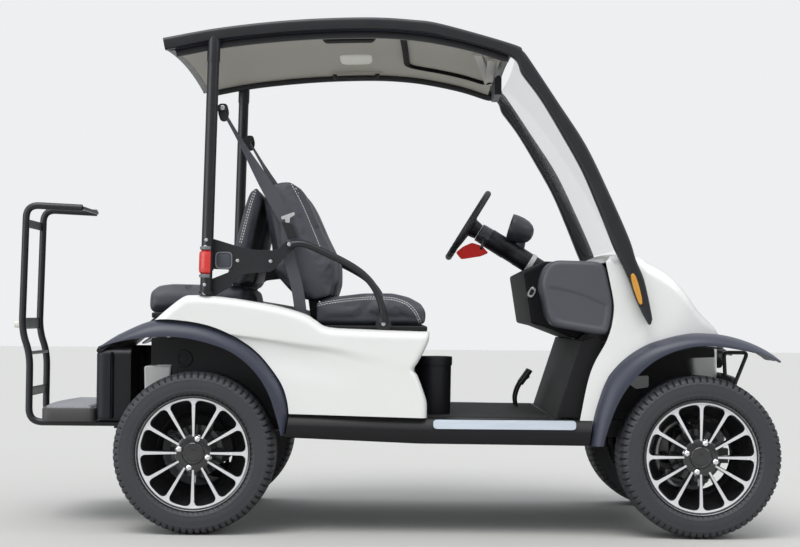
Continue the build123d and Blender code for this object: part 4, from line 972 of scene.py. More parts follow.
def sweep(path, wide, deep=None, up=(0, 0, 1), count=16, power=2):
    """A rod along a path: at each point, a superellipse ring, wide across and deep along up,
    square to the path, in the frame side = path x up; both ends are closed."""
    deep = wide if deep is None else deep
    along = unit(np.gradient(path, axis=0))
    side = np.cross(along, np.broadcast_to(np.asarray(up, float), along.shape))
    side = unit(side)
    rise = np.cross(side, along)
    a, b = rounded_ring(power, count)
    wide, deep = (np.broadcast_to(np.asarray(r, float), len(path))[:, None, None] for r in (wide, deep))
    rings = path[:, None] + side[:, None] * a[:, None] * wide + rise[:, None] * b[:, None] * deep
    return closed_ends(rings)


def rod(start, end, *size, **shape):
    """A straight rod between two points, with the ring of sweep."""
    return sweep(np.linspace(start, end, 2), *size, **shape)


def bent(points, bend, steps=8):
    """A route with its inner corners rounded: each is cut back by bend and joined by the
    quadratic curve of the corner."""
    points = np.asarray(points, float)
    a, p, b = points[:-2], points[1:-1], points[2:]
    into, out = p - a, b - p
    into_long, out_long = (np.linalg.norm(run, axis=1, keepdims=True) for run in (into, out))
    bend = np.broadcast_to(np.asarray(bend, float).reshape(-1, 1), into_long.shape)
    start = p - into / into_long * np.minimum(bend, 0.48 * into_long)
    end = p + out / out_long * np.minimum(bend, 0.48 * out_long)
    t = np.linspace(0, 1, steps)[None, :, None]
    arcs = (1 - t) ** 2 * start[:, None] + 2 * t * (1 - t) * p[:, None] + t**2 * end[:, None]
    return np.vstack([points[:1], arcs.reshape(-1, points.shape[1]), points[-1:]])


piece("roof_skin", roof_panel(), [slate, beige], "roof_panel", "roof_panel")

LOOP = [(0.064, -0.505), (0.083, 0.29), (0.378, 0.29), (0.396, 0.215)]
EDGE_Y = 0.5195
loop = evened(bent(LOOP, [0.075, 0.04], 12), 150)
loop = np.column_stack([loop, roof_under(loop[:, 0], loop[:, 1]) - 0.005])
edge_x = np.linspace(panel_line[0, 0] + 0.004, panel_line[-1, 0] + 0.016, 90)
edge_line = grid(edge_x, EDGE_Y, roof_under(edge_x, EDGE_Y) - 0.0075)
edges = pair([sweep(edge_line, 0.009, 0.0125, count=20, power=5)])
piece("roof_edge_trims", edges, [coat], "dark_tube")
matt_black = moulded("matt_black_cover", (0.005, 0.005, 0.006), 0.85, Specular_IOR_Level=0.15)
piece("roof_loop", [sweep(loop, 0.011, 0.0075)], [matt_black], "dark_tube")


def set_in(x, y, half_x, half_y, drop, rise):
    """A low rounded pad on the roof's underside: a superellipse of power 5 in plan, drop
    deep at its middle and rounded over at its edge."""
    ring_x, ring_y = rounded_ring(5, 48)
    share = np.array([0, 0.5, 0.86, 0.95, 1, 1])[:, None]
    depth = np.array([1, 1, 0.95, 0.6, 0, -0.3])[:, None]
    px, py = x + half_x * share * ring_x, y + half_y * share * ring_y
    return net(grid(px, py, roof_under(px, py) - drop * depth + rise), False, True)


pale = Finish("pale_lamp_lens", (0.86, 0.84, 0.77), 0.35)
pale.bump((pale.axes(pale.place())[0] * 900).sine(), 0.0004, 0.4)
piece("dome_lamp", [set_in(-0.108, 0.185, 0.06, 0.1, 0.006, 0)], [pale], "roof_panel")
grips = [set_in(-0.115, y, 0.108, 0.02, 0.006, 0) for y in (0.452, -0.452)]
STRAPS = [(0.322, -0.34), (0.372, -0.33)]
STRAP_END = (0.392, 0.27)
strap_grey = moulded("roof_straps", (0.4, 0.39, 0.36), 0.45)
straps = []
for start in STRAPS:
    line = evened(np.array([start, STRAP_END]), 40)
    lift = roof_under(line[:, 0], line[:, 1]) - 0.0065
    straps.append(sweep(np.column_stack([line, lift]), 0.015, 0.0035, count=20, power=5))
piece("roof_straps", straps, [strap_grey], "bright_plate")
black_grip = moulded("grip_moulding", (0.014, 0.013, 0.013), 0.4)
piece("roof_grips", grips, [beige], "roof_panel")
GRIP_BAR = [(-0.2, 0.002), (-0.194, -0.016), (-0.036, -0.016), (-0.03, 0.002)]
grip_line = evened(bent(GRIP_BAR, 0.01, 8), 60)
bars_made = []
for y in (0.452, -0.452):
    lift = roof_under(grip_line[:, 0], y) - 0.005 + grip_line[:, 1]
    bars_made.append(sweep(grid(grip_line[:, 0], y, lift), 0.0085, 0.0055, up=(0, 1, 0)))
piece("roof_grip_bars", bars_made, [black_grip], "black_plastic")

# -----
# Rear posts: two black steel tubes from the body sides up to the bows, with a clamp at the
# top and a belt guide; red lamps wrap round them above the seat.
POST_LOW, POST_HIGH, POST_RADIUS = (XR + 0.033, 0.7875), (XR + 0.0514, 1.64), 0.0195
RED = (0.62, 0.016, 0.012)
red_lens = Finish("red_lens", RED, 0.22, Coat_Weight=0.6, Coat_Roughness=0.05)
ribs = (red_lens.axes(red_lens.place())[2] * 1500).sine()
red_lens.tint(ribs * 0.5 + 0.5, (0.8, 0.06, 0.04), 0.35)
red_lens.bump(ribs, 0.0005, 0.5)


def post_at(share):
    """The point of a post's middle at a share of its height."""
    low, high = np.array(POST_LOW), np.array(POST_HIGH)
    x, z = low + (high - low) * share
    return np.array([x, RAIL_MIDDLE, z])


POST_AXIS = unit(post_at(1) - post_at(0))


def collar(share, length, grow):
    """A ring round a post, with rounded rims."""
    steps = np.array([-0.5, -0.5, -0.42, 0.42, 0.5, 0.5]) * length
    reach = POST_RADIUS + np.array([-0.002, grow * 0.6, grow, grow, grow * 0.6, -0.002])
    path = post_at(share) + POST_AXIS * steps[:, None]
    turn = whole_turn(32)
    side = np.array([0, 1, 0])
    ahead = np.cross(POST_AXIS, side)
    ring = np.cos(turn)[:, None] * side + np.sin(turn)[:, None] * ahead
    return net(path[:, None] + reach[:, None, None] * ring[None], False, True)


posts = [rod(post_at(0), post_at(1), POST_RADIUS, up=(1, 0, 0), count=40)]
posts += [collar(0.95, 0.084, 0.0022), collar(0.1, 0.012, 0.003), collar(0.007, 0.012, 0.004)]
piece("rear_post_tubes", pair(posts), [coat], "dark_tube", "rear_posts")


def post_lamp(share, length, reach, half_turn):
    """A lens that wraps the outer back quarter of a post: a swollen sleeve, open inside."""
    s = np.linspace(-0.5, 0.5, 14)
    shape = np.sqrt(np.clip(1 - (np.abs(s) * 2) ** 8, 0, 1))
    turn = np.radians(np.linspace(-half_turn, half_turn, 30))
    swell = np.sqrt(np.clip(1 - (np.linspace(-1, 1, 30)) ** 8, 0, 1))
    out = np.array([-0.35, 0.937, 0])
    across = np.cross(POST_AXIS, out)
    ring = np.cos(turn)[:, None] * out + np.sin(turn)[:, None] * across
    radius = POST_RADIUS - 0.001 + reach * shape[:, None] * swell[None]
    return net(post_at(share) + POST_AXIS * (s * length)[:, None, None] + radius[..., None] * ring[None])


piece("post_lamps", pair([post_lamp(0.125, 0.078, 0.0088, 62)]), [red_lens], "red_lamp", "tail_lamps")
caps = [post_lamp(0.125 + s * 0.054, 0.012, 0.007, 60) for s in (-1, 1)]
grey_cap = moulded("lamp_end_caps", (0.16, 0.16, 0.18), 0.4)
piece("post_lamp_caps", pair(caps), [grey_cap], "lamp_grey")

# -----
# Side plates: laser-cut black steel that ties each post to the seat back, held by zinc
# bolts, with a small square speaker let in behind the post.
PLATE = [(23, 727), (23, 790), (26, 834), (46, 839), (110, 865), (110, 871), (29, 873),
    (35, 976), (52, 973), (123, 952), (173, 938), (262, 936), (283, 956), (300, 972),
    (320, 962), (327, 945), (295, 923), (251, 867), (196, 861),
    (147, 855), (108, 811), (60, 785), (60, 727)]
PLATE_BACK, PLATE_FACE = 0.509, 0.5147


def cut_plate(outline, cut, back, face, edge=0.0008):
    """A flat plate in the car's side plane: its rounded outline, back and face, joined by an
    edge with small bevels, and both flats drawn as one face each."""
    ring = rounded(outline, cut, 5)
    facing = ring_outward(ring)
    rows = [(back, edge), (back + edge, 0), (face - edge, 0), (face, edge)]
    walls = np.stack([at_side(ring - facing * draw, y) for y, draw in rows])
    shapes = [net(walls, False, True)]
    for row in (walls[0], walls[-1]):
        shapes.append((row, np.arange(len(row))[None], np.zeros(1, int)))
    return shapes


def screw_head(x, z, face, radius=0.0062, high=0.0035, out=1):
    """A domed button head with a hexagonal socket, standing on a face at |y|."""
    reach = np.array([1, 1, 0.86, 0.55, 0.42, 0.36, 0.34, 0.01])
    rise = np.array([-0.2, 0.25, 0.8, 1, 1, 0.9, 0.35, 0.35])
    turn = whole_turn(18)
    px = x + radius * reach[:, None] * np.cos(turn)
    pz = z + radius * reach[:, None] * np.sin(turn)
    py = (face + high * rise[:, None]) * out + 0 * px
    return net(grid(px, py, pz), False, True)


zinc = Finish("zinc_plate", (0.6, 0.6, 0.61), 0.3, metallic=1)
zinc.uneven(0.24, 0.2, 80, 3)
plates = pair(cut_plate(behind(XR, PLATE), 0.012, PLATE_BACK, PLATE_FACE))
piece("side_plate_steel", plates, [coat], "dark_tube", "side_plates")
# (x, z, |y| of the face that it stands on)
BOLTS = [(-0.575, 0.9665, 0.5692), (-0.5775, 0.944, 0.5692), (-0.5794, 0.819, 0.5692),
    (-0.58, 0.791, 0.5692), (-0.4766, 0.901, PLATE_FACE), (-0.367, 0.9, PLATE_FACE)]
bolts = [screw_head(*bolt) for bolt in BOLTS]
piece("plate_bolts", pair(bolts), [zinc], "bright_plate")


def speaker():
    """A squared housing whose front narrows to a bezel ring round a shallow dome."""
    share = np.array([1, 1, 0.94, 0.86, 0.84, 0.8, 0.6, 0.3, 0.01])
    out = np.array([0.503, 0.5175, 0.5195, 0.5195, 0.5175, 0.5165, 0.5178, 0.5188, 0.519])
    a, b = rounded_ring(4.5, 56)
    x = -0.522 + 0.0295 * share[:, None] * a
    z = 0.9015 + 0.0295 * share[:, None] * b
    marks = [0, 0, 1, 1, 0, 2, 2, 2]
    return net(grid(x, out[:, None], z), False, True, marks)


bezel = Finish("speaker_bezel", (0.3, 0.31, 0.33), 0.35, metallic=0.6)
bezel.uneven(0.3, 0.15, 60, 2)
grille = moulded("speaker_dome", (0.055, 0.06, 0.075), 0.45, 2500, 0.0004)
piece("speakers", pair([speaker()]), [coat, bezel, grille], "black_plastic", crease=25)


EASED_ANGLE = np.radians(32)


def eased(node, finish, width=0.003, segments=2, body="chassis"):
    """A copy of a CAD node, its doubles merged and its flat faces made whole, with its edges
    rounded by a bevel. It stands for the node."""
    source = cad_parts[node]
    mesh = source.data.copy()
    mesh.name = f"{node}_eased"
    work = bmesh.new()
    work.from_mesh(mesh)
    bmesh.ops.remove_doubles(work, verts=work.verts, dist=1e-5)
    bmesh.ops.dissolve_limit(
        work, angle_limit=np.radians(1), verts=work.verts, edges=work.edges, delimit={"NORMAL"}
    )
    work.to_mesh(mesh)
    work.free()
    mesh.materials.clear()
    mesh.materials.append(finish.material)
    mesh.shade_smooth()
    mesh.set_sharp_from_angle(angle=EASED_ANGLE)
    made = bpy.data.objects.new(f"{node}_shape", mesh)
    scene.collection.objects.link(made)
    bevel = made.modifiers.new("edges", "BEVEL")
    bevel.width = width
    bevel.segments = segments
    bevel.limit_method = "ANGLE"
    bevel.angle_limit = EASED_ANGLE
    bevel.harden_normals = True
    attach(made, body)
    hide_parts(node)
    return made

# -----
# Belts: grey polyester webbing from a guide on each post, down through a zinc tongue and on
# to an anchor in the body side.
WEBBING = (0.055, 0.057, 0.07)
BELT_TOP, BELT_TONGUE = (XR + 0.08, 1.396), (XR + 0.291, 1.04)
BELT_LOWER = [(292, 1030), (300, 930), (331, 810), (348, 692)]
BELT_Y, BELT_WIDE = 0.486, 0.045

webbing = Finish("grey_webbing", WEBBING, 0.72)
weave_x, _, weave_z = webbing.axes(webbing.place())
ribbing = ((weave_x * 0.53 + weave_z * 0.85) * 2600).sine() * 0.5 + 0.5
webbing.tint(ribbing, (0.085, 0.088, 0.105), 0.35)
webbing.bump(ribbing, 0.0005, 0.5)


def ribbon(line, wide, thick, twist=0):
    """Flat webbing along a line in the side plane, with doubled edges: a shallow bow sideways
    by 4 mm sin(pi s), and a twist in degrees at its start that eases to none at its end."""
    along = unit(np.gradient(line, axis=0))
    across = grid(along[:, 1], -along[:, 0])
    s = np.linspace(0, 1, len(line))
    bow = 0.004 * np.sin(np.pi * s)
    reach = np.array([-0.5, -0.47, -0.44, 0.44, 0.47, 0.5, 0.5, 0.47, 0.44, -0.44, -0.47, -0.5]) * wide
    stand = np.array([0.3, 0.62, 0.45, 0.45, 0.62, 0.3, -0.3, -0.62, -0.45, -0.45, -0.62, -0.3]) * thick
    turn = np.radians(twist) * (1 - smooth_step(s**1.25))[:, None]
    flat = line[:, None] + across[:, None] * (reach * np.cos(turn) - stand * np.sin(turn))[..., None]
    y = BELT_Y + bow[:, None] + reach * np.sin(turn) + stand * np.cos(turn)
    return closed_ends(grid(flat[..., 0], y, flat[..., 1]))


belt_up = evened(np.array([BELT_TOP, BELT_TONGUE]), 60)
belt_down = evened(behind(XR, curve(BELT_LOWER, 60)), 60)
belts = pair([ribbon(belt_up, BELT_WIDE, 0.0028, twist=81), ribbon(belt_down, 0.04, 0.0028)])
piece("belt_webbing", belts, [webbing], "webbing", "seat_belts")


def plate_between(points, y, thick, cut=0.004):
    """A thin plate with a rounded outline, centred at |y|."""
    return cut_plate(np.asarray(points) + [XR, 0], cut, y - thick / 2, y + thick / 2)


TONGUE = [(0.274, 1.05), (0.318, 1.066), (0.32, 1.056), (0.304, 1.046), (0.303, 1.03), (0.288, 1.028),
    (0.288, 1.042), (0.276, 1.04)]
BUCKLE = [(0.276, 1.034), (0.312, 1.026), (0.33, 0.985), (0.3, 0.975)]
FOOT_TAB = [(0.334, 0.72), (0.364, 0.72), (0.362, 0.688), (0.34, 0.688)]
GUIDE = [(0.064, 1.424), (0.092, 1.424), (0.1, 1.392), (0.092, 1.364), (0.072, 1.364), (0.062, 1.392)]
LUG = [(0.04, 1.418), (0.092, 1.418), (0.092, 1.398), (0.04, 1.398)]
steel_grey = moulded("belt_steel", (0.45, 0.45, 0.46), 0.35)
tongue = pair(plate_between(TONGUE, BELT_Y, 0.006, 0.003))
piece("belt_tongues", tongue, [steel_grey], "bright_plate")
guide_bolt = pair([screw_head(XR + 0.0775, 1.409, 0.521, 0.0095, 0.005)])
piece("belt_guide_bolts", guide_bolt, [zinc], "bright_plate")
guides = plate_between(GUIDE, 0.509, 0.006, 0.01) + plate_between(LUG, 0.517, 0.008)
pin = np.linspace([BELT_TOP[0], 0.462, BELT_TOP[1]], [BELT_TOP[0], 0.511, BELT_TOP[1]], 6)
guides += [sweep(pin, 0.006, count=16)]
guides += plate_between(BUCKLE, BELT_Y, 0.012, 0.006) + plate_between(FOOT_TAB, BELT_Y, 0.01)
piece("belt_buckles", pair(guides), [coat], "black_plastic")

# -----
# Arm rests: black steel tube bent over each side of the seat, flattened at both ends and
# bolted to the side plate's ear and to the seat box.
ARM_ROUTE = [(300, 955), (352, 962), (521, 886), (590, 822), (618, 745), (620, 700)]
ARM_Y = 0.527
arm_line = bent(behind(XR, ARM_ROUTE), [0.03, 0.11, 0.06, 0.05], 14)
arm_line = evened(arm_line, 120)
arm_line = at_side(arm_line, ARM_Y)
s = np.linspace(0, 1, 120)
thin = 0.0118 - 0.0058 * smooth_step((0.035 - s) / 0.03) - 0.0055 * smooth_step((s - 0.93) / 0.04)
broad = 0.0118 + 0.003 * smooth_step((0.035 - s) / 0.03) + 0.0045 * smooth_step((s - 0.93) / 0.04)
arms = [sweep(arm_line, broad, thin, up=(0, 1, 0), count=20)]
foot = [(0.6, 0.712), (0.638, 0.712), (0.648, 0.69), (0.642, 0.6785), (0.598, 0.6785), (0.592, 0.69)]
arms += plate_between(foot, 0.5225, 0.007, 0.01)
piece("arm_rest_tubes", pair(arms), [coat], "dark_tube", "armrests")
arm_bolts = [screw_head(XR + 0.6195, 0.6955, 0.526, 0.0075)]
arm_bolts += [screw_head(XR + 0.305, 0.956, 0.533, 0.007)]
piece("arm_rest_bolts", pair(arm_bolts), [zinc], "bright_plate")

# -----
# Dash: mid-grey moulded pods at both ends with a soft crease, and a black middle panel with
# its shelf below; a silver key plate is set in beside the near pod.
POD = [(-499, 912), (-313, 908), (-287, 787), (-285, 749), (-292, 696), (-304, 662), (-483, 691),
    (-503, 720), (-514, 781), (-530, 835)]
POD_CREASE = [(-540, 826), (-470, 820), (-400, 803), (-340, 780), (-280, 752)]
POD_GREY = (0.064, 0.064, 0.078)
POD_ROUND = 0.016

dash_grey = moulded("grey_dash_moulding", POD_GREY, 0.48, 1200, 0.0003)
black_moulding = moulded("black_moulding", (0.007, 0.007, 0.01), 0.45, 1000, Specular_IOR_Level=0.35)


def dash_pod(y_in, y_out):
    """One end pod: its outline, rounded, drawn in by a quarter round towards the outer face;
    on that face, below the crease line, the surface steps in by 4 mm."""
    ring = rounded(behind(XF, POD), 0.04, 9)
    ring = evened(np.vstack([ring, ring[:1]]), 141)[:-1]
    facing = ring_outward(ring)
    turn = np.radians(np.linspace(0, 90, 8))
    rows = [at_side(ring - facing * 0.004, y_in), at_side(ring, y_in + 0.004)]
    rows += [
        at_side(ring - facing * POD_ROUND * (1 - np.cos(a)), y_out - POD_ROUND * (1 - np.sin(a)))
        for a in turn
    ]
    centre = ring.mean(axis=0)
    crease = behind(XF, curve(POD_CREASE, 60))
    flat = ring - facing * POD_ROUND
    for share in np.linspace(0.96, 0, 26):
        line = centre + (flat - centre) * max(share, 0.001)
        below = np.interp(line[:, 0], crease[:, 0], crease[:, 1]) - line[:, 1]
        dip = 0.004 * smooth_step((below + 0.004) / 0.012) * smooth_step((1 - share) / 0.12)
        rows.append(at_side(line, y_out - dip))
    back = at_side(centre + (ring - centre) * 0.001, y_in)
    return net(np.stack([back, *rows]), False, True)


pods = pair([dash_pod(0.3805, 0.535)])
piece("dash_end_pods", pods, [dash_grey], "dash_grey", "dash_pods", crease=50)
dash_black = moulded("dash_black", (0.003, 0.003, 0.005), 0.6, 1000, 0.0003, Specular_IOR_Level=0.16)
eased("dash", dash_black, 0.008, 3)
KEY_X, KEY_Z, KEY_FACE = 0.5105, 0.806, 0.3797


def oval_plate(x, z, half_x, half_z, lean, face, high, shares, rises, marks):
    """A plate on a side face: ovals of power 3 drawn in by shares at heights rises, turned by
    lean degrees."""
    a, b = rounded_ring(3, 40)
    c, s = np.cos(np.radians(lean)), np.sin(np.radians(lean))
    share = np.array(shares)[:, None]
    px, pz = half_x * share * a, half_z * share * b
    y = -face - high * np.array(rises)[:, None]
    points = grid(x + px * c - pz * s, y, z + px * s + pz * c)
    return net(points, False, True, marks)


key = oval_plate(
    KEY_X, KEY_Z, 0.0115, 0.0185, -28, KEY_FACE, 0.004,
    [1, 1, 0.9, 0.62, 0.56, 0.5, 0.2, 0.01], [-0.3, 0.6, 1, 1, 0.7, 0.4, 0.4, 0.4],
    [0, 0, 0, 0, 1, 1, 1],
)
piece("key_plate", [key], [zinc, black_moulding], "bright_plate")

# -----
# Steering: a padded wheel with three arms on a black moulded column shroud, and a bell
# shaped instrument pod on a bracket beside it.
TILT = np.radians(31.5)
WHEEL_HUB = np.array([XF - 0.736, 0.27, 1.066])
WHEEL_R, GRIP_R = 0.1395, 0.0122
AXIS = np.array([-np.cos(TILT), 0, np.sin(TILT)])
ACROSS, UPWARD = np.array([0, 1, 0]), np.array([np.sin(TILT), 0, np.cos(TILT)])

grip = Finish("wheel_grip", (0.02, 0.02, 0.023), 0.5)
grip.uneven(0.42, 0.2, 30, 3)
grip.clouded(18, 4, (0.045, 0.045, 0.05), 0.4)
grip.grained(900, 0.0003, 0.4)
collar_grey = moulded("collar_grey", (0.035, 0.04, 0.047), 0.34)


def on_axis(origin, rise, radius, turn, axis=AXIS, across=ACROSS, upward=UPWARD):
    """Points round an axis: origin + rise along it + radius in the plane square to it."""
    rise, radius, turn = np.broadcast_arrays(rise, radius, turn)
    around = np.cos(turn)[..., None] * across + np.sin(turn)[..., None] * upward
    return origin + axis * rise[..., None] + around * radius[..., None]


def lathed(origin, profile, count=64, axis=AXIS, across=ACROSS, upward=UPWARD, finish=0):
    """A profile of (rise, radius) turned round an axis."""
    profile = np.asarray(profile, float)
    turn = whole_turn(count)[None]
    points = on_axis(origin, profile[:, :1], profile[:, 1:], turn, axis, across, upward)
    return net(points, False, True, finish)


def steering_rim():
    """A ring round the hub, with shallow finger waves along its lower half."""
    turn = whole_turn(200)[:, None]
    around = whole_turn(20)[None]
    thick = GRIP_R + 0.0004 * np.sin(turn * 28) * np.clip(-np.sin(turn), 0, 1)
    radius = WHEEL_R + thick * np.cos(around)
    return net(on_axis(WHEEL_HUB, thick * np.sin(around), radius, turn), True, True)


def steering_arm(angle):
    """One arm from the hub to the rim: flat, wider at the hub, dished by 14 mm."""
    s = np.linspace(0, 1, 30)
    path = on_axis(WHEEL_HUB, -0.016 * (1 - s**1.5), 0.026 + (WHEEL_R - 0.03) * s, np.full(30, angle))
    return sweep(path, 0.013 - 0.004 * s, 0.0045, up=AXIS, count=18, power=3.5)


rim_parts = [steering_rim()] + [steering_arm(np.radians(a)) for a in (-90, 18, 162)]
piece("steering_rim", rim_parts, [grip], "black_plastic", "steering_wheel", body="steering")
HUB_PROFILE = [(-0.0468, 0.001), (-0.0468, 0.029), (-0.04, 0.031), (-0.022, 0.034), (-0.01, 0.038),
    (-0.004, 0.038), (0, 0.035), (0.002, 0.029), (0.003, 0.015), (0.0032, 0.0001)]
piece("steering_boss", [lathed(WHEEL_HUB, HUB_PROFILE)], [black_moulding], "black_plastic", body="steering")
SHROUD = [(-0.048, 0.0001), (-0.048, 0.033), (-0.051, 0.0355), (-0.091, 0.0365), (-0.093, 0.038),
    (-0.17, 0.0385), (-0.172, 0.037), (-0.215, 0.037), (-0.217, 0.038), (-0.325, 0.037),
    (-0.332, 0.033), (-0.332, 0.0001)]
shroud = lathed(WHEEL_HUB, SHROUD, finish=[1] * 3 + [0] * 8)
column_finishes = [black_moulding, collar_grey]
piece("column_shroud", [shroud], column_finishes, "black_plastic", "steering_column")
RING = [(-0.266, 0.036), (-0.266, 0.039), (-0.269, 0.0405), (-0.281, 0.0405),
    (-0.284, 0.039), (-0.284, 0.036)]
white_ring = moulded("white_ring", (0.62, 0.62, 0.6), 0.4)
piece("column_ring", [lathed(WHEEL_HUB, RING)], [white_ring], "white_body")
LEVER = [(-0.07, 0.02), (-0.074, 0.06), (-0.082, 0.12), (-0.084, 0.165)]
lever_path = np.array([on_axis(WHEEL_HUB, r, d, np.radians(200)) for r, d in curve(LEVER, 24)])
lever_r = np.interp(np.linspace(0, 1, 24), [0, 0.6, 0.85, 1], [0.0035, 0.0042, 0.0065, 0.0055])
piece("column_lever", [sweep(lever_path, lever_r, up=AXIS)], [black_moulding], "black_plastic")

POD_FACE = np.array([XF - 0.58, 0.27, 1.06])
POD_AXIS = np.array([np.cos(np.radians(17)), 0, -np.sin(np.radians(17))])
POD_UP = np.array([np.sin(np.radians(17)), 0, np.cos(np.radians(17))])
BELL = [(0.006, 0.0001), (0.006, 0.046), (0.001, 0.048), (0, 0.0525), (0.002, 0.0535), (0.02, 0.0535),
    (0.045, 0.05), (0.066, 0.043), (0.082, 0.032), (0.091, 0.018), (0.094, 0.0001)]
bell = lathed(POD_FACE, BELL, 72, POD_AXIS, ACROSS, POD_UP, [1] + [0] * 9)
dial = Finish("dial_glass", (0.015, 0.016, 0.018), 0.1, Coat_Weight=0.6)
dial.tint((dial.noise(30, 1)).above(0.62), (0.05, 0.05, 0.05), 0.4)
stalk = rod([XF - 0.532, 0.27, 1.03], [XF - 0.545, 0.27, 0.965], 0.014, 0.018, up=(1, 0, 0), power=4)
bell_grey = moulded("instrument_housing", (0.04, 0.042, 0.052), 0.36, 900)
piece("instrument_bell", [bell, stalk], [bell_grey, dial], "black_plastic", "instrument_pod")

TAG = [(0.272, 0.963), (0.3, 0.986), (0.334, 1.001), (0.372, 0.988), (0.396, 0.962),
    (0.366, 0.949), (0.293, 0.937)]
red_card = moulded("red_card", (0.9, 0.016, 0.01), 0.6)
piece("column_tag", cut_plate(TAG, 0.008, 0.262, 0.2632, 0.0002), [red_card], "red_lamp")

# -----
# Screen and mirror: one sheet of clear polycarbonate between the pillars, in a black seal,
# and a wide mirror under the header.
glass = Finish("clear_polycarbonate", (0.08, 0.1, 0.11), 0.04, Alpha=0.13, Specular_IOR_Level=0.22)
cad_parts["windscreen"].data.materials.clear()
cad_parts["windscreen"].data.materials.append(glass.material)
SCREEN_EDGE = [(-262, 965), (-300, 1040), (-345, 1140), (-420, 1290), (-515, 1440), (-606, 1580)]
seal_line = evened(behind(XF, curve(SCREEN_EDGE, 80)), 80)
seal_line = at_side(seal_line, 0.5255)
seals = pair([sweep(seal_line, 0.0045, 0.008, up=(1, 0, 0.4), power=4)])
piece("screen_seals", seals, [coat], "black_plastic")
eased("mirror", black_moulding, 0.008, 4)
mirror_low, _ = np.array(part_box("mirror"))
mirror_glass = Finish("mirror_glass", (0.85, 0.87, 0.88), 0.03, metallic=1)
mirror_glass.uneven(0.02, 0.03, 40, 2)
mirror_z = mirror_low[2] + 0.031
a, b = rounded_ring(5, 60)
mirror_face = np.stack(
    [
        grid(mirror_low[0] - off, 0.102 * share * a, mirror_z + 0.024 * share * b)
        for off, share in ((-0.002, 1), (-0.0002, 1), (-0.0002, 0.001))
    ]
)
piece("mirror_glass", [net(mirror_face, False, True)], [mirror_glass], "bright_plate")

# -----
# Floor and sills: a moulded pan under a ribbed rubber mat, black sills with a sloping
# shoulder, and a brushed aluminium step strip screwed onto each shoulder.
SILL_LOW = [(280, 320), (740, 303), (1335, 300)]
SILL_HIGH = [(280, 396), (740, 387), (1335, 382)]
# across: (y, share of the height from the lower to the upper edge)
SILL_PROFILE = [(0.4905, 0.1), (0.496, 0), (0.556, 0), (0.5635, 0.03), (0.5665, 0.09), (0.57, 0.5),
    (0.5692, 0.6), (0.553, 0.93), (0.5465, 1), (0.5, 1), (0.4905, 0.92)]
STRIP_X = (0.176, 0.646)
MAT_X, MAT_HALF, MAT_RIB = (-0.05, 0.572), 0.478, 0.013

sill_black = moulded("sill_moulding", (0.006, 0.0055, 0.007), 0.45, 700, 0.0005, Specular_IOR_Level=0.3)
mat = moulded("ribbed_rubber_mat", (0.008, 0.008, 0.009), 0.62, 1500, 0.0005, Specular_IOR_Level=0.3)
mat.clouded(9, 5, (0.03, 0.028, 0.026), 0.3)
brushed = Finish("brushed_aluminium", (0.3, 0.33, 0.37), 0.46, metallic=0.85)
long_way = brushed.node("VectorMath", {"operation": "MULTIPLY"}, {0: brushed.place(), 1: (6, 900, 900)})
streak = brushed.noise(1, 3, long_way)
brushed.feed("Roughness", 0.38 + streak * 0.2)
brushed.tint(streak, (0.22, 0.25, 0.28), 0.5)


def sill():
    """The profile carried from one wheel arch to the other: each end follows its arch line."""
    across = np.array(SILL_PROFILE)
    s = np.linspace(0, 1, 70)[:, None]
    low, high = behind(XR, SILL_LOW), behind(XR, SILL_HIGH)
    height = 0.31 + 0.08 * across[None, :, 1]
    rear, front = round_arch(XR, REAR_OUTER, 80), round_arch(XF, FRONT_OUTER, 80)
    start = np.interp(height, rear[:20, 1], rear[:20, 0]) + 0.001
    stop = np.interp(height, front[:20, 1], front[:20, 0]) - 0.001
    x = start + (stop - start) * s
    bottom, top = np.interp(x, low[:, 0], low[:, 1]), np.interp(x, high[:, 0], high[:, 1])
    z = bottom + (top - bottom) * across[None, :, 1]
    return closed_ends(grid(x, across[None, :, 0], z))


def mounted(outline, cut, origin, right, up, rise, edge=0.0008):
    """A flat plate on any plane: its rounded outline in metres along right and up from the
    origin, walls of height rise, a small bevel and one flat face."""
    ring = rounded(outline, cut, 6)
    facing = ring_outward(ring)
    right, up = (np.array(way, float) / np.linalg.norm(way) for way in (right, up))
    normal = np.cross(right, up)
    rows = []
    for height, draw in ((0, 0), (rise - edge, 0), (rise, edge)):
        line = ring - facing * draw
        rows.append(origin + line[:, :1] * right + line[:, 1:] * up + normal * height)
    walls = np.stack(rows)
    return [net(walls, False, True), (walls[-1], np.arange(len(ring))[None], np.zeros(1, int))]


piece("sill_mouldings", pair([sill()]), [sill_black], "black_plastic", "sills", crease=50)
slope = np.array([0, -0.0162, 0.0298])
strip_outline = [(STRIP_X[0], 0), (STRIP_X[1], 0), (STRIP_X[1], 0.0345), (STRIP_X[0], 0.0345)]
strip = mounted(strip_outline, 0.014, np.array([0, 0.5697, 0.3515]), (1, 0, 0), slope, -0.002)
piece("step_strips", pair(strip), [brushed], "bright_plate")
eased("floor_pan", sill_black, 0.003)
mat_y = np.linspace(-MAT_HALF, MAT_HALF, 6 * int(2 * MAT_HALF / MAT_RIB) + 1)[None]
mat_x = np.linspace(*MAT_X, 12)[:, None]
rib = 0.002 * (np.abs(np.sin(np.pi * mat_y / MAT_RIB)) > 0.5) * (np.abs(mat_y) < MAT_HALF - 0.012)
mat_top = grid(mat_x, mat_y, 0.3862 + rib)
mat_under = mat_top * [1, 1, 0] + [0, 0, 0.3851]
piece("floor_mat", shell(mat_top, mat_under), [mat], "floor")

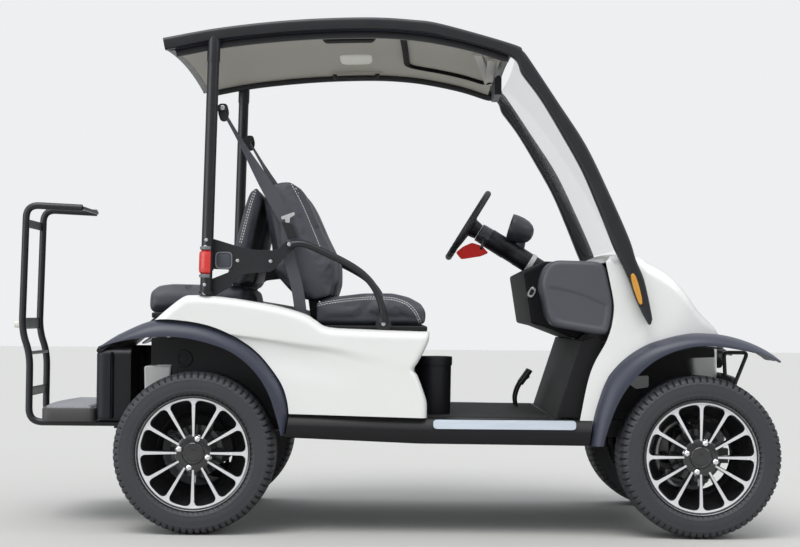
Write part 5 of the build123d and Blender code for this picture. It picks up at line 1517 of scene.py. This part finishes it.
# -----
# Toe board, its side closures and the pedals: pressed steel, painted black, the pedals
# with a bent stem and a ribbed rubber pad.
PEDALS = ((0.205, 0.031), (0.32, 0.037))
STEM = [(-553, 387), (-556, 425), (-540, 470), (-507, 502)]
CLOSURE = [(0.594, 0.388), (0.676, 0.646), (0.735, 0.664), (0.735, 0.388)]

eased("toe_board", mat, 0.003)
piece("toe_closures", pair(cut_plate(CLOSURE, 0.01, 0.482, 0.4855)), [sill_black], "black_plastic")
pedal_parts = []
for pedal_y, half in PEDALS:
    stem = evened(behind(XF, curve(STEM, 40)), 40)
    stem = at_side(stem, pedal_y)
    pedal_parts.append(sweep(stem, 0.011, 0.005, up=(1, 0, 0.3), count=16, power=4))
    face_mid, lean = np.array([XF - 0.5155, pedal_y, 0.493]), np.array([0.06, 0, 0.085])
    outline = [(-half, -0.03), (half, -0.03), (half, 0.034), (-half, 0.034)]
    pedal_parts += mounted(outline, 0.01, face_mid, (0, 1, 0), lean, -0.009, 0.002)
    for k in np.linspace(-0.022, 0.026, 6):
        across = face_mid + lean / np.linalg.norm(lean) * k + np.array([-0.0085, 0, 0.006])
        rib_path = np.linspace(across - [0, half - 0.008, 0], across + [0, half - 0.008, 0], 6)
        pedal_parts.append(sweep(rib_path, 0.0018, count=8))
piece("pedal_pads", pedal_parts, [mat], "black_plastic", "pedals")

# -----
# Litter bin: a moulded tub with a rolled rim, standing behind the near sill.
BIN_AT = np.array([XR + 0.789, -0.3, 0.3853])
BIN = [(0.004, 0.0001), (0, 0.056), (0.002, 0.0595), (0.01, 0.0608), (0.168, 0.0625), (0.1685, 0.065),
    (0.172, 0.0658), (0.194, 0.066), (0.199, 0.0645), (0.1995, 0.0615), (0.197, 0.059), (0.19, 0.0585),
    (0.02, 0.0565), (0.012, 0.05), (0.01, 0.0001)]

ALONG, ASIDE, UP = np.eye(3)
UPRIGHT = dict(axis=UP, across=ALONG, upward=ASIDE)
tub = lathed(BIN_AT, BIN, 72, **UPRIGHT)
piece("litter_tub", [tub], [black_moulding], "black_plastic", "litter_bin")

# -----
# Under the seats: a moulded box with a stepped deck over a ribbed battery case.
eased("seat_box", sill_black, 0.004)
pack_low, pack_high = np.array(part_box("battery_pack"))
case_grey = moulded("battery_case", (0.045, 0.046, 0.05), 0.5, 600)


def battery_case():
    """A rounded case whose sides carry upright ribs, 4 mm high, and whose lid overhangs."""
    middle, half = (pack_low + pack_high) / 2, (pack_high - pack_low) / 2
    a, b = rounded_ring(14, 240)
    rib = 0.004 * (np.sin(np.arange(240) * 2 * np.pi / 8) > 0.3)
    levels = [(0, 0.012, 0), (0.004, 0.006, 1), (0.17, 0.006, 1), (0.176, 0, 0)]
    levels += [(0.238, 0, 0), (0.25, 0.004, 0), (0.2545, 0.014, 0)]
    rows = []
    for rise, draw, ribbed in levels:
        reach = draw + rib * ribbed
        x, y = middle[0] + (half[0] - reach) * a, middle[1] + (half[1] - reach) * b
        rows.append(grid(x, y, pack_low[2] + rise))
    return closed_ends(np.stack(rows))


piece("battery_case", [battery_case()], [case_grey], "black_plastic", "battery_pack")

# -----
# Lamps of the nose: amber capsules in black bezels on the pillars' feet, and a pair of
# round headlamps with a plated bowl behind a clear lens.
AMBER_AT, AMBER_WAY, AMBER_FACE = np.array([0.841, 0.817]), np.array([0.0312, -0.106]), 0.5702
HEAD_Y, HEAD_Z, HEAD_FACE = 0.165, 0.6, 1.1724

amber = Finish("amber_lens", (0.6, 0.27, 0.03), 0.18, Coat_Weight=0.5, Coat_Roughness=0.05)
flute = (amber.axes(amber.place())[2] * 1500).sine() * 0.5 + 0.5
amber.bump(flute, 0.0006, 0.5)
amber.tint(flute, (0.75, 0.4, 0.06), 0.4)
clear_lens = Finish("clear_lens", (0.93, 0.95, 0.97), 0.05, Coat_Weight=0.4)
clear_lens.feed("Alpha", 0.22)
bowl = Finish("plated_bowl", (0.88, 0.88, 0.9), 0.1, metallic=1)
bowl.bump((bowl.axes(bowl.place())[1] * 420).sine(), 0.0012, 0.6)
bulb_glow = Finish("lamp_bulb", (0.95, 0.93, 0.86), 0.25)


def capsule(length, width, rows):
    """A long oval on the pillar's side: rings of power 3.4, narrower at the lower end by a
    fifth, at the shares and heights of rows."""
    a, b = rounded_ring(3.4, 56)
    way = AMBER_WAY / np.linalg.norm(AMBER_WAY)
    across = np.array([way[1], -way[0]])
    rings = []
    for share, height in rows:
        reach = a * (length - width * (1 - share))
        side = b * width * share * (1 - 0.2 * np.clip(a, 0, 1))
        flat = AMBER_AT + reach[:, None] * way + side[:, None] * across
        rings.append(at_side(flat, AMBER_FACE + height))
    return net(np.stack(rings), False, True)


capsule_rows = [(1, -0.004), (1, 0.0022), (0.95, 0.003), (0.8, 0.003), (0.78, 0.002)]
lens_rows = [(0.77, 0.0015), (0.76, 0.0032), (0.66, 0.0046), (0.4, 0.005), (0.01, 0.005)]
piece("amber_bezels", pair([capsule(0.056, 0.0135, capsule_rows)]), [coat], "black_plastic")
amber_lens = pair([capsule(0.0555, 0.013, lens_rows)])
piece("amber_lenses", amber_lens, [amber], "amber_lamp", "side_lamps")

FORWARD = dict(axis=ALONG, across=ASIDE, upward=UP)
RIM = [(0, 0.04), (0, 0.0515), (0.016, 0.0518), (0.022, 0.05), (0.0235, 0.047),
    (0.0195, 0.044), (0.01, 0.043)]
BOWL = [(0.0165, 0.0438), (0.01, 0.039), (0.004, 0.029), (0.002, 0.017), (0.0015, 0.0001)]
LENS = [(0.019, 0.0445), (0.0225, 0.038), (0.0247, 0.025), (0.0256, 0.012), (0.0258, 0.0001)]
BULB = [(0.002, 0.0085), (0.009, 0.0085), (0.0125, 0.0065), (0.014, 0.0001)]
head = np.array([HEAD_FACE, HEAD_Y, HEAD_Z])
for name, profile, finish, slot in (
    ("headlamp_rims", RIM, gloss, "black_plastic"),
    ("headlamp_bowls", BOWL, bowl, "bright_plate"),
    ("headlamp_bulbs", BULB, bulb_glow, "headlamp"),
):
    piece(name, pair([lathed(head, profile, 72, **FORWARD)]), [finish], slot)
lens = pair([lathed(head, LENS, 72, **FORWARD)])
piece("headlamp_lenses", lens, [clear_lens], "headlamp", "headlamps")

# -----
# Bumper: a moulded bar with a rolled front and two grooves, on a black bracket loop at each
# side; behind each front wheel a light bracket hangs inside the arch.
BUMPER = [(1.1725, 0.4255), (1.1725, 0.5345), (1.186, 0.5345), (1.232, 0.5195), (1.24, 0.4985),
    (1.232, 0.4785), (1.186, 0.4655), (1.18, 0.4255)]
BUMPER_HALF = 0.2848
STAY_LOOP = [(130, 530), (126, 606), (207, 606), (160, 488), (130, 488)]


def bumper():
    """The side outline carried across: it draws back at both ends by a quarter ellipse, and
    two grooves 3 mm deep run along its front."""
    ring = rounded(BUMPER, 0.012, 6)
    facing = ring_outward(ring)
    height = ring[:, 1]
    front = smooth_step((ring[:, 0] - 1.215) / 0.01)
    groove = sum(np.exp(-(((height - middle) / 0.003) ** 2)) for middle in (0.508, 0.49))
    line = ring - facing * (0.003 * front * groove)[:, None]
    y = BUMPER_HALF * np.sin(np.linspace(-np.pi / 2, np.pi / 2, 60))
    near_end = np.clip(np.abs(y) - BUMPER_HALF + 0.05, 0, 0.05) / 0.05
    edge = 0.03 * (1 - np.sqrt(np.clip(1 - near_end**2, 0, 1)))
    x = 1.1725 + (line[None, :, 0] - 1.1725) * (1 - edge[:, None] / 0.068 * 1.6)
    return closed_ends(grid(x, y[:, None], line[None, :, 1]))


piece("front_bumper_bar", [bumper()], [black_moulding], "black_plastic", "front_bumper")
loop_line = evened(bent(behind(XF, STAY_LOOP), 0.016), 110)
stay = sweep(at_side(loop_line, 0.2923), 0.0069, up=(0, 1, 0), count=14)
piece("bumper_loops", pair([stay]), [coat], "dark_tube", "bumper_stays")

# -----
# Rear step box: a black moulded panel round the back, with an upright groove near each
# front edge and a sloping lid; a white valance stands in front of it between the wheels.
KICK_X, KICK_HALF, KICK_LOW, KICK_HIGH = XR - 0.367, 0.33, 0.356, 0.603
KICK_LID = [(-366, 590), (-362, 603), (-290, 650), (-186, 694), (-151, 724), (-151, 702),
    (-186, 678), (-290, 634), (-345, 588)]
VALANCE = [(-188, 370.5), (-120, 370.5), (-101, 545), (-193, 545)]


def kick_wall():
    """The panel's plan line (rounded corners of 24 mm, a groove 9 mm deep that stops short of
    the top), carried up; its top edge rolls in."""
    front = KICK_X + 0.12
    plan = [(front, KICK_HALF), (KICK_X, KICK_HALF), (KICK_X, -KICK_HALF), (front, -KICK_HALF)]
    line = evened(bent(plan, 0.034, 14), 420)
    along = unit(np.gradient(line, axis=0))
    inward = grid(-along[:, 1], along[:, 0])
    inward *= np.sign(((np.array([KICK_X + 0.2, 0]) - line) * inward).sum(axis=1, keepdims=True))
    beside = np.exp(-(((line[:, 0] - KICK_X - 0.058) / 0.0045) ** 4)) * (np.abs(line[:, 1]) > 0.3)
    parts = ((0, 0.08, 7), (0.12, 0.86, 6), (0.89, 1, 9))
    s = np.concatenate([np.linspace(*part) for part in parts])[:, None]
    z = KICK_LOW + (KICK_HIGH - KICK_LOW) * s
    roll = 0.022 * (1 - np.sqrt(1 - np.clip((s - 0.9) / 0.1, 0, 0.999) ** 2))
    foot = 0.01 * (1 - np.sqrt(1 - np.clip((0.05 - s) / 0.05, 0, 0.999) ** 2))
    groove = 0.011 * beside * smooth_step((s - 0.02) / 0.03) * smooth_step((0.95 - s) / 0.05)
    draw = groove + roll + foot
    flat = line[None] + inward[None] * draw[..., None]
    points = grid(flat[..., 0], flat[..., 1], z)
    return walled(points, 0.012, (XR + 0.5, 0, 0.48))


kick = kick_wall() + cut_plate(behind(XR, KICK_LID), 0.006, -0.3295, 0.3295, 0.003)
piece("rear_step_panel", kick, [black_moulding], "slate_trim", "kick_panel", crease=45)
valance = cut_plate(behind(XR, VALANCE), 0.008, -0.3775, 0.3775, 0.004)
piece("rear_valance_panel", valance, [paint], "white_body", "rear_valance")

# -----
# Footboard and grab bar: a moulded step with a raised tread on a welded loop of black tube
# with flat ties; a small clear lamp sits on the upper tie.
BAR_ROUTE = [(-453, 1094), (-650, 1103), (-660, 657), (-631, 575), (-632, 337.3), (-290.3, 337.3)]
BAR_Y, BAR_RADIUS = 0.147, 0.0124
# (x and z from the rear axle and the ground, half length along the car, half height), mm
TIES = [(-453, 1094, 6, 6), (-655, 1040, 2, 15), (-660, 684, 2.5, 20), (-631, 580, 6, 6),
    (-632, 444, 2.5, 16), (-470, 337.3, 12.5, 10)]
BOARD_LEVELS = [(0.35, 0.003), (0.3525, 0), (0.393, 0), (0.3965, 0.003), (0.397, 0.014),
    (0.4015, 0.0155), (0.403, 0.018), (0.4036, 0.024)]

step_side = moulded("footboard_side", (0.04, 0.037, 0.036), 0.5, 500)
tread_grey = moulded("footboard_tread", (0.24, 0.245, 0.27), 0.5, 500)
tread_x, tread_y, _ = tread_grey.axes(tread_grey.place())
stud = ((tread_x * 330).sine() * (tread_y * 330).sine()).most(0)
tread_grey.bump(stud, 0.0016, 0.8)


def footboard():
    """Plan outlines at rising heights, each drawn in by its share: straight in front, bowed
    back by 28 mm in the middle, rounded corners."""
    y = np.linspace(-1, 1, 41)
    back = grid(XR - 0.549 - 0.028 * (1 - y**2), 0.327 * y)
    plan = np.vstack([back, [[KICK_X - 0.0003, 0.327], [KICK_X - 0.0003, -0.327]]])
    dense = evened(np.vstack([plan, plan[:1]]), 361)[:-1]
    for _ in range(3):
        dense = (np.roll(dense, 3, axis=0) + 2 * dense + np.roll(dense, -3, axis=0)) / 4
    facing = ring_outward(dense)
    rings = [np.column_stack([dense - facing * draw, np.full(360, z)]) for z, draw in BOARD_LEVELS]
    marks = [0] * 4 + [1] * 3
    lids = [(rings[end], np.arange(360)[None], np.array([mark])) for end, mark in ((0, 0), (-1, 1))]
    return [net(np.stack(rings), False, True, marks), *lids]


board_finishes = [step_side, tread_grey]
piece("footboard_step", footboard(), board_finishes, "black_plastic", "footboard", crease=45)
bar_line = evened(bent(behind(XR, BAR_ROUTE), [0.045, 0.05, 0.05, 0.05], 12), 260)
bar = sweep(at_side(bar_line, BAR_Y), BAR_RADIUS, up=(0, 1, 0), count=24)
bars = pair([bar])
for x, z, half_x, half_z in np.array(TIES) / 1000:
    tie = np.linspace([XR + x, -BAR_Y, z], [XR + x, BAR_Y, z], 10)
    bars.append(sweep(tie, half_x, half_z, count=24, power=5))
piece("grab_bar_tubes", bars, [coat], "dark_tube", "grab_bar")
lamp_low, lamp_high = np.array(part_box("reversing_lamp"))
lamp_mid = (lamp_low + lamp_high) / 2
shares = np.array([0.86, 1, 1, 0.97, 0.9, 0.6])
depth = np.array([0, 0.05, 0.45, 0.46, 0.92, 1])
a, b = rounded_ring(5, 48)
lamp_deep = lamp_high[0] - lamp_low[0]
lamp_points, lamp_cells, _ = closed_ends(
    grid(
        (lamp_high[0] - lamp_deep * depth)[:, None],
        0.045 * shares[:, None] * a,
        lamp_mid[2] + 0.014 * shares[:, None] * b,
    )
)
behind_mid = lamp_points[lamp_cells].mean(axis=1)[:, 0] < lamp_mid[0]
lens_part = (lamp_points, lamp_cells, behind_mid.astype(int))
piece("reversing_lamp_lens", [lens_part], [black_moulding, pale], "lamp_grey", "reversing_lamp")

# -----
# Arch liners: black moulded sheets that follow the fenders' inner line and the frame's
# side, with a round boss; a light bracket hangs in each front arch.
liner_black = moulded("liner_moulding", (0.007, 0.007, 0.009), 0.6, 500, 0.0006)
REAR_LINER, FRONT_LINER = (28, 104, 0.3835, 0.528), (78, 168, 0.2775, 0.528)


def arch_liner(axle_x, table, low, high, inboard, outboard):
    """The fender's inner line less 5 mm, between two angles, carried inboard: it drops by a
    slow wave, 3 mm deep, towards the frame."""
    rows = np.array([(angle, gap - 5) for angle, gap in table])
    line = round_arch(axle_x, rows, 90)
    angle = np.degrees(np.arctan2(line[:, 1] - HUB_Z, line[:, 0] - axle_x))
    line = evened(line[(angle >= low) & (angle <= high)], 60)
    y = np.linspace(inboard, outboard, 14)[:, None]
    facing = line - [axle_x, HUB_Z]
    facing = unit(facing)
    dip = 0.003 * np.sin(np.pi * (y - inboard) / (outboard - inboard))
    flat = line[None] - facing[None] * dip[..., None]
    points = grid(flat[..., 0], y, flat[..., 1])
    return walled(points, 0.003, (axle_x, 0.45, 1.2))


liners = arch_liner(XR, REAR_INNER, *REAR_LINER) + arch_liner(XF, FRONT_INNER, *FRONT_LINER)
piece("arch_liners", pair(liners), [liner_black], "black_plastic")


def housing(axle_x, table, low, high, foot, back):
    """A flat inner wall: the arch liner's line from low to high degrees, then straight down
    to the frame; foot is the place (x, z) of each lower corner."""
    line = round_arch(axle_x, [(angle, gap - 3) for angle, gap in table], 90)
    angle = np.degrees(np.arctan2(line[:, 1] - HUB_Z, line[:, 0] - axle_x))
    line = evened(line[(angle >= low) & (angle <= high)], 12)
    return cut_plate(np.vstack([line, foot]), 0.006, back, back + 0.0038)


rear_foot = [(-0.779, 0.64), (-0.779, 0.55), (-0.7085, 0.55), (-0.7085, 0.3725), (XR + 0.262, 0.3725)]
front_foot = [(XF + 0.098, 0.5885), (XF - 0.002, 0.585), (XF + 0.012, 0.526), (XF - 0.0525, 0.3725)]
front_foot += [(XF - 0.31, 0.3725), (XF - 0.31, 0.455)]
walls = housing(XR, REAR_INNER, 28, 106, rear_foot, 0.378)
walls += housing(XF, FRONT_INNER, 74, 146, front_foot, 0.272)
piece("housing_walls", pair(walls), [liner_black], "black_plastic", "wheel_housings")
BOSS = [(0, 0.03), (0.003, 0.03), (0.005, 0.028), (0.005, 0.021), (0.002, 0.019),
    (0.002, 0.009), (0.006, 0.008), (0.006, 0.0001)]
OUTWARD = dict(axis=ASIDE, across=UP, upward=ALONG)
boss = lathed([-0.668, 0.382, 0.571], BOSS, 40, **OUTWARD)
piece("liner_bosses", pair([boss]), [liner_black], "black_plastic")
bracket_grey = moulded("bracket_grey", (0.6, 0.6, 0.6), 0.45)
BRACKET = [(0.85, 0.5), (0.868, 0.521), (0.924, 0.524), (0.924, 0.484), (0.88, 0.477)]
bracket = cut_plate(BRACKET, 0.007, 0.2785, 0.2815)
bracket.append(screw_head(0.89, 0.505, 0.2812, 0.005, 0.003))
piece("arch_brackets", pair(bracket), [bracket_grey], "bright_plate")

# -----
# Chassis: rectangular steel rails and cross members in black powder coat.
eased("chassis_frame", coat, 0.004)

# -----
# Rear axle: a steel tube with a bolted differential and an electric motor behind it, on two
# leaf springs with U-bolts.
iron = moulded("cast_iron", (0.03, 0.03, 0.031), 0.5, 260, 0.0009)
steel = Finish("dull_steel", (0.34, 0.34, 0.35), 0.42, metallic=1)
steel.uneven(0.34, 0.25, 50, 3)
steel.clouded(22, 5, (0.2, 0.19, 0.18), 0.5)
AXLE = [(0, 0.0001), (0, 0.083), (0.012, 0.088), (0.055, 0.086), (0.068, 0.074),
    (0.085, 0.048), (0.11, 0.036), (0.15, 0.0335), (0.372, 0.0335), (0.374, 0.056),
    (0.388, 0.056), (0.39, 0.0335), (0.392, 0.0145), (0.5535, 0.0145), (0.5535, 0.0001)]
MOTOR = [(-0.034, 0.0001), (-0.034, 0.04), (-0.03, 0.066), (-0.022, 0.072), (0.13, 0.072),
    (0.136, 0.066), (0.146, 0.04), (0.154, 0.034), (0.154, 0.0001)]

axle_mid = np.array([XR, 0, HUB_Z])
motor_mid = axle_mid + [-0.13, 0, 0.01]
case_parts = [lathed(motor_mid, MOTOR, 64, **OUTWARD)]
for turn in whole_turn(24):
    ray = np.array([np.cos(turn), 0, np.sin(turn)])
    ends = (motor_mid + ray * 0.07 + [0, y, 0] for y in (-0.01, 0.12))
    case_parts.append(rod(*ends, 0.002, 0.004, up=ray, count=8, power=4))
piece("motor_case", case_parts, [iron], "running_gear")
axle_parts = [lathed(axle_mid, AXLE, 64, **OUTWARD)]
for turn in whole_turn(10):
    ends = (axle_mid + [0.08 * np.cos(turn), y, 0.08 * np.sin(turn)] for y in (0.012, 0.062))
    axle_parts.append(rod(*ends, 0.0048, count=6))
piece("axle_tube", pair(axle_parts), [iron], "running_gear", "rear_axle")


def leaf(length, rise):
    """One spring leaf: a strip bowed down by the square of its length."""
    s = np.linspace(-1, 1, 40)
    path = grid(XR + 0.01 + length * s, 0.3, HUB_Z + rise + 0.012 * s**2 * (length / 0.28) ** 2)
    return sweep(path, 0.0245, 0.0028, count=16, power=6)


springs = [leaf(length, rise) for length, rise in ((0.279, 0.052), (0.215, 0.0455), (0.15, 0.039))]
for x in (-0.262, 0.282):
    ends = (axle_mid + [x, y, 0.0655] for y in (0.268, 0.323))
    springs.append(rod(*ends, 0.0105, 0.0225, power=4))
for x in (-0.028, 0.028):
    clamp = [(x, 0.27, 0.075), (x, 0.27, -0.036), (x, 0.33, -0.036), (x, 0.33, 0.075)]
    springs.append(sweep(evened(bent(clamp, 0.012) + axle_mid, 60), 0.005, up=ALONG, count=12))
ends = (axle_mid + [x, 0.3, 0.0345] for x in (-0.046, 0.046))
springs.append(rod(*ends, 0.028, 0.0065, power=5))
piece("leaf_springs", pair(springs), [steel], "running_gear")

# -----
# Front suspension: a welded subframe, forged arms above and below, and a coil spring round
# a damper from each lower arm to the tower's bracket. The coil is a helix of six turns.
LOWER, UPPER, PIN_Y = HUB_Z - 0.097, HUB_Z + 0.084, 0.43
COIL_Y, COIL_LOW, COIL_HIGH, COIL_TURNS = 0.318, LOWER + 0.012, HUB_Z + 0.19, 6.5
EYE = [(-0.0079, 0.0001), (-0.0079, 0.015), (-0.005, 0.0178), (0.005, 0.0178), (0.0079, 0.015),
    (0.0079, 0.0001)]
PIN = [(-0.09, 0.0001), (-0.09, 0.0079), (0.09, 0.0079), (0.09, 0.0001)]


def suspension_arm(z, inner, spread):
    """A forged A arm: two legs that meet at the pin's eye, joined near the frame."""
    made = []
    for side in (-1, 1):
        leg = np.linspace([XF + side * spread, inner, z], [XF + side * 0.01, PIN_Y - 0.004, z], 16)
        made.append(sweep(leg, 0.0115, 0.0078, count=16, power=4))
    ends = ([XF + x, inner + 0.012, z] for x in (-spread, spread))
    made.append(rod(*ends, 0.012, 0.0078, power=4))
    made.append(lathed([XF, PIN_Y, z], EYE, 32, **UPRIGHT))
    return made


arms_metal = suspension_arm(LOWER, 0.19, 0.05) + suspension_arm(UPPER, 0.283, 0.045)
arms_metal.append(lathed([XF, PIN_Y, (LOWER + UPPER) / 2], PIN, 24, **UPRIGHT))
piece("suspension_arms", pair(arms_metal), [iron], "running_gear")
turn = np.linspace(0, 2 * np.pi * COIL_TURNS, 40 * 6 + 21)
share = turn / turn[-1]
rise = COIL_LOW + (COIL_HIGH - COIL_LOW) * (share + 0.02 * np.sin(2 * np.pi * share))
helix = grid(XF + 0.0255 * np.cos(turn), COIL_Y + 0.0255 * np.sin(turn), rise)
coil_paint = moulded("coil_paint", (0.018, 0.018, 0.02), 0.35)
piece("coil_springs", pair([sweep(helix, 0.0052, count=12)]), [coil_paint], "running_gear")
DAMPER = [(0, 0.0001), (0, 0.015), (0.01, 0.0175), (0.095, 0.0175), (0.098, 0.016),
    (0.1, 0.0065), (0.186, 0.0065), (0.186, 0.0001)]
damper = lathed([XF, COIL_Y, COIL_LOW], DAMPER, 32, **UPRIGHT)
piece("damper_bodies", pair([damper]), [steel], "running_gear")
TOWER = [(1.006, 0.262), (1.104, 0.262), (1.09, 0.473), (1.02, 0.473)]
towers = cut_plate(TOWER, 0.01, 0.2675, 0.286, 0.003)
cap = [(XF + x, y) for x, y in ((-0.0395, 0.2705), (0.0395, 0.2705), (0.0395, 0.3495), (-0.0395, 0.3495))]
towers += mounted(cap, 0.012, UP * (HUB_Z + 0.1935), ALONG, ASIDE, 0.013, 0.003)
subframe = []
for z, half_long, deep in ((0.272, 0.231, 0.037), (LOWER, 0.189, 0.0195)):
    ends = ([XF, y, z] for y in (-half_long, half_long))
    subframe.append(rod(*ends, 0.0545, deep, count=40, power=9))
subframe.append(rod([XF, 0, LOWER], [XF, 0, 0.25], 0.149, 0.044, up=ALONG, count=40, power=12))
piece("front_subframe", subframe + pair(towers), [coat], "chassis", "front_suspension")

# -----
# Steering gear: cast knuckles with calipers, a turned track rod and the rack's tube.
for side in ("left", "right"):
    eased(f"knuckle_{side}", iron, 0.004, 3, body=f"knuckle_{side}")
eased("track_rods", steel, 0.0015, 2, body="track_rods")
eased("rack_housing", iron, 0.003)

# -----
# Ground: a wide pale sheet that keeps the car's shadow; the world behind it is pale too.
SKY_LOW, SKY_HIGH = 0.86, 1.02
GLOSS_LOW, GLOSS_HIGH, GLOSS_SIDE = 0.2, 1.35, 3.2
ground = Finish("studio_floor", (0.52, 0.515, 0.5), 0.9)
bpy.ops.mesh.primitive_plane_add(size=60, location=(0, 0, 0))
floor = bpy.context.object
floor.name = "studio_floor"
floor.data.materials.append(ground.material)

world = bpy.data.worlds.new("studio")
scene.world = world
world.use_nodes = True
sky = world.node_tree
sky.nodes.clear()


def sky_node(kind, values, out=0, **settings):
    """Adds a world node: values are numbers or other nodes' outputs."""
    made = sky.nodes.new("ShaderNode" + kind)
    for setting, value in settings.items():
        setattr(made, setting, value)
    for socket, value in values.items():
        if isinstance(value, bpy.types.NodeSocket):
            sky.links.new(value, made.inputs[socket])
        else:
            made.inputs[socket].default_value = value
    return made.outputs[out] if made.outputs else None


way = sky_node("TexCoord", {}, "Generated")
upward = sky_node("SeparateXYZ", {0: way}, "Z")
from_top = sky_node("MapRange", {0: upward, 1: 0, 2: 0.7, 3: GLOSS_LOW, 4: GLOSS_HIGH})
beside = sky_node("VectorMath", {0: way, 1: (-0.8, -0.6, 0.1)}, "Value", operation="DOT_PRODUCT")
from_side = sky_node("MapRange", {0: beside, 1: 0.86, 2: 0.98, 3: 0, 4: GLOSS_SIDE})
mirrored_light = sky_node("Math", {0: from_top, 1: from_side}, operation="ADD")
soft = sky_node("MapRange", {0: upward, 1: -0.1, 2: 0.8, 3: SKY_LOW, 4: SKY_HIGH})
glossy = sky_node("LightPath", {}, "Is Glossy Ray")
strength = sky_node("Mix", {0: glossy, 2: soft, 3: mirrored_light})
soft_light = sky_node("Background", {"Color": (0.94, 0.97, 1, 1), "Strength": strength})
backdrop = sky_node("Background", {"Color": (0.9, 0.91, 0.92, 1), "Strength": 0.95})
rays = [sky_node("LightPath", {}, f"Is {kind} Ray") for kind in ("Camera", "Transmission")]
seen = sky_node("Math", dict(enumerate(rays)), operation="MAXIMUM")
sky_node("OutputWorld", {"Surface": sky_node("MixShader", {"Fac": seen, 1: soft_light, 2: backdrop})})
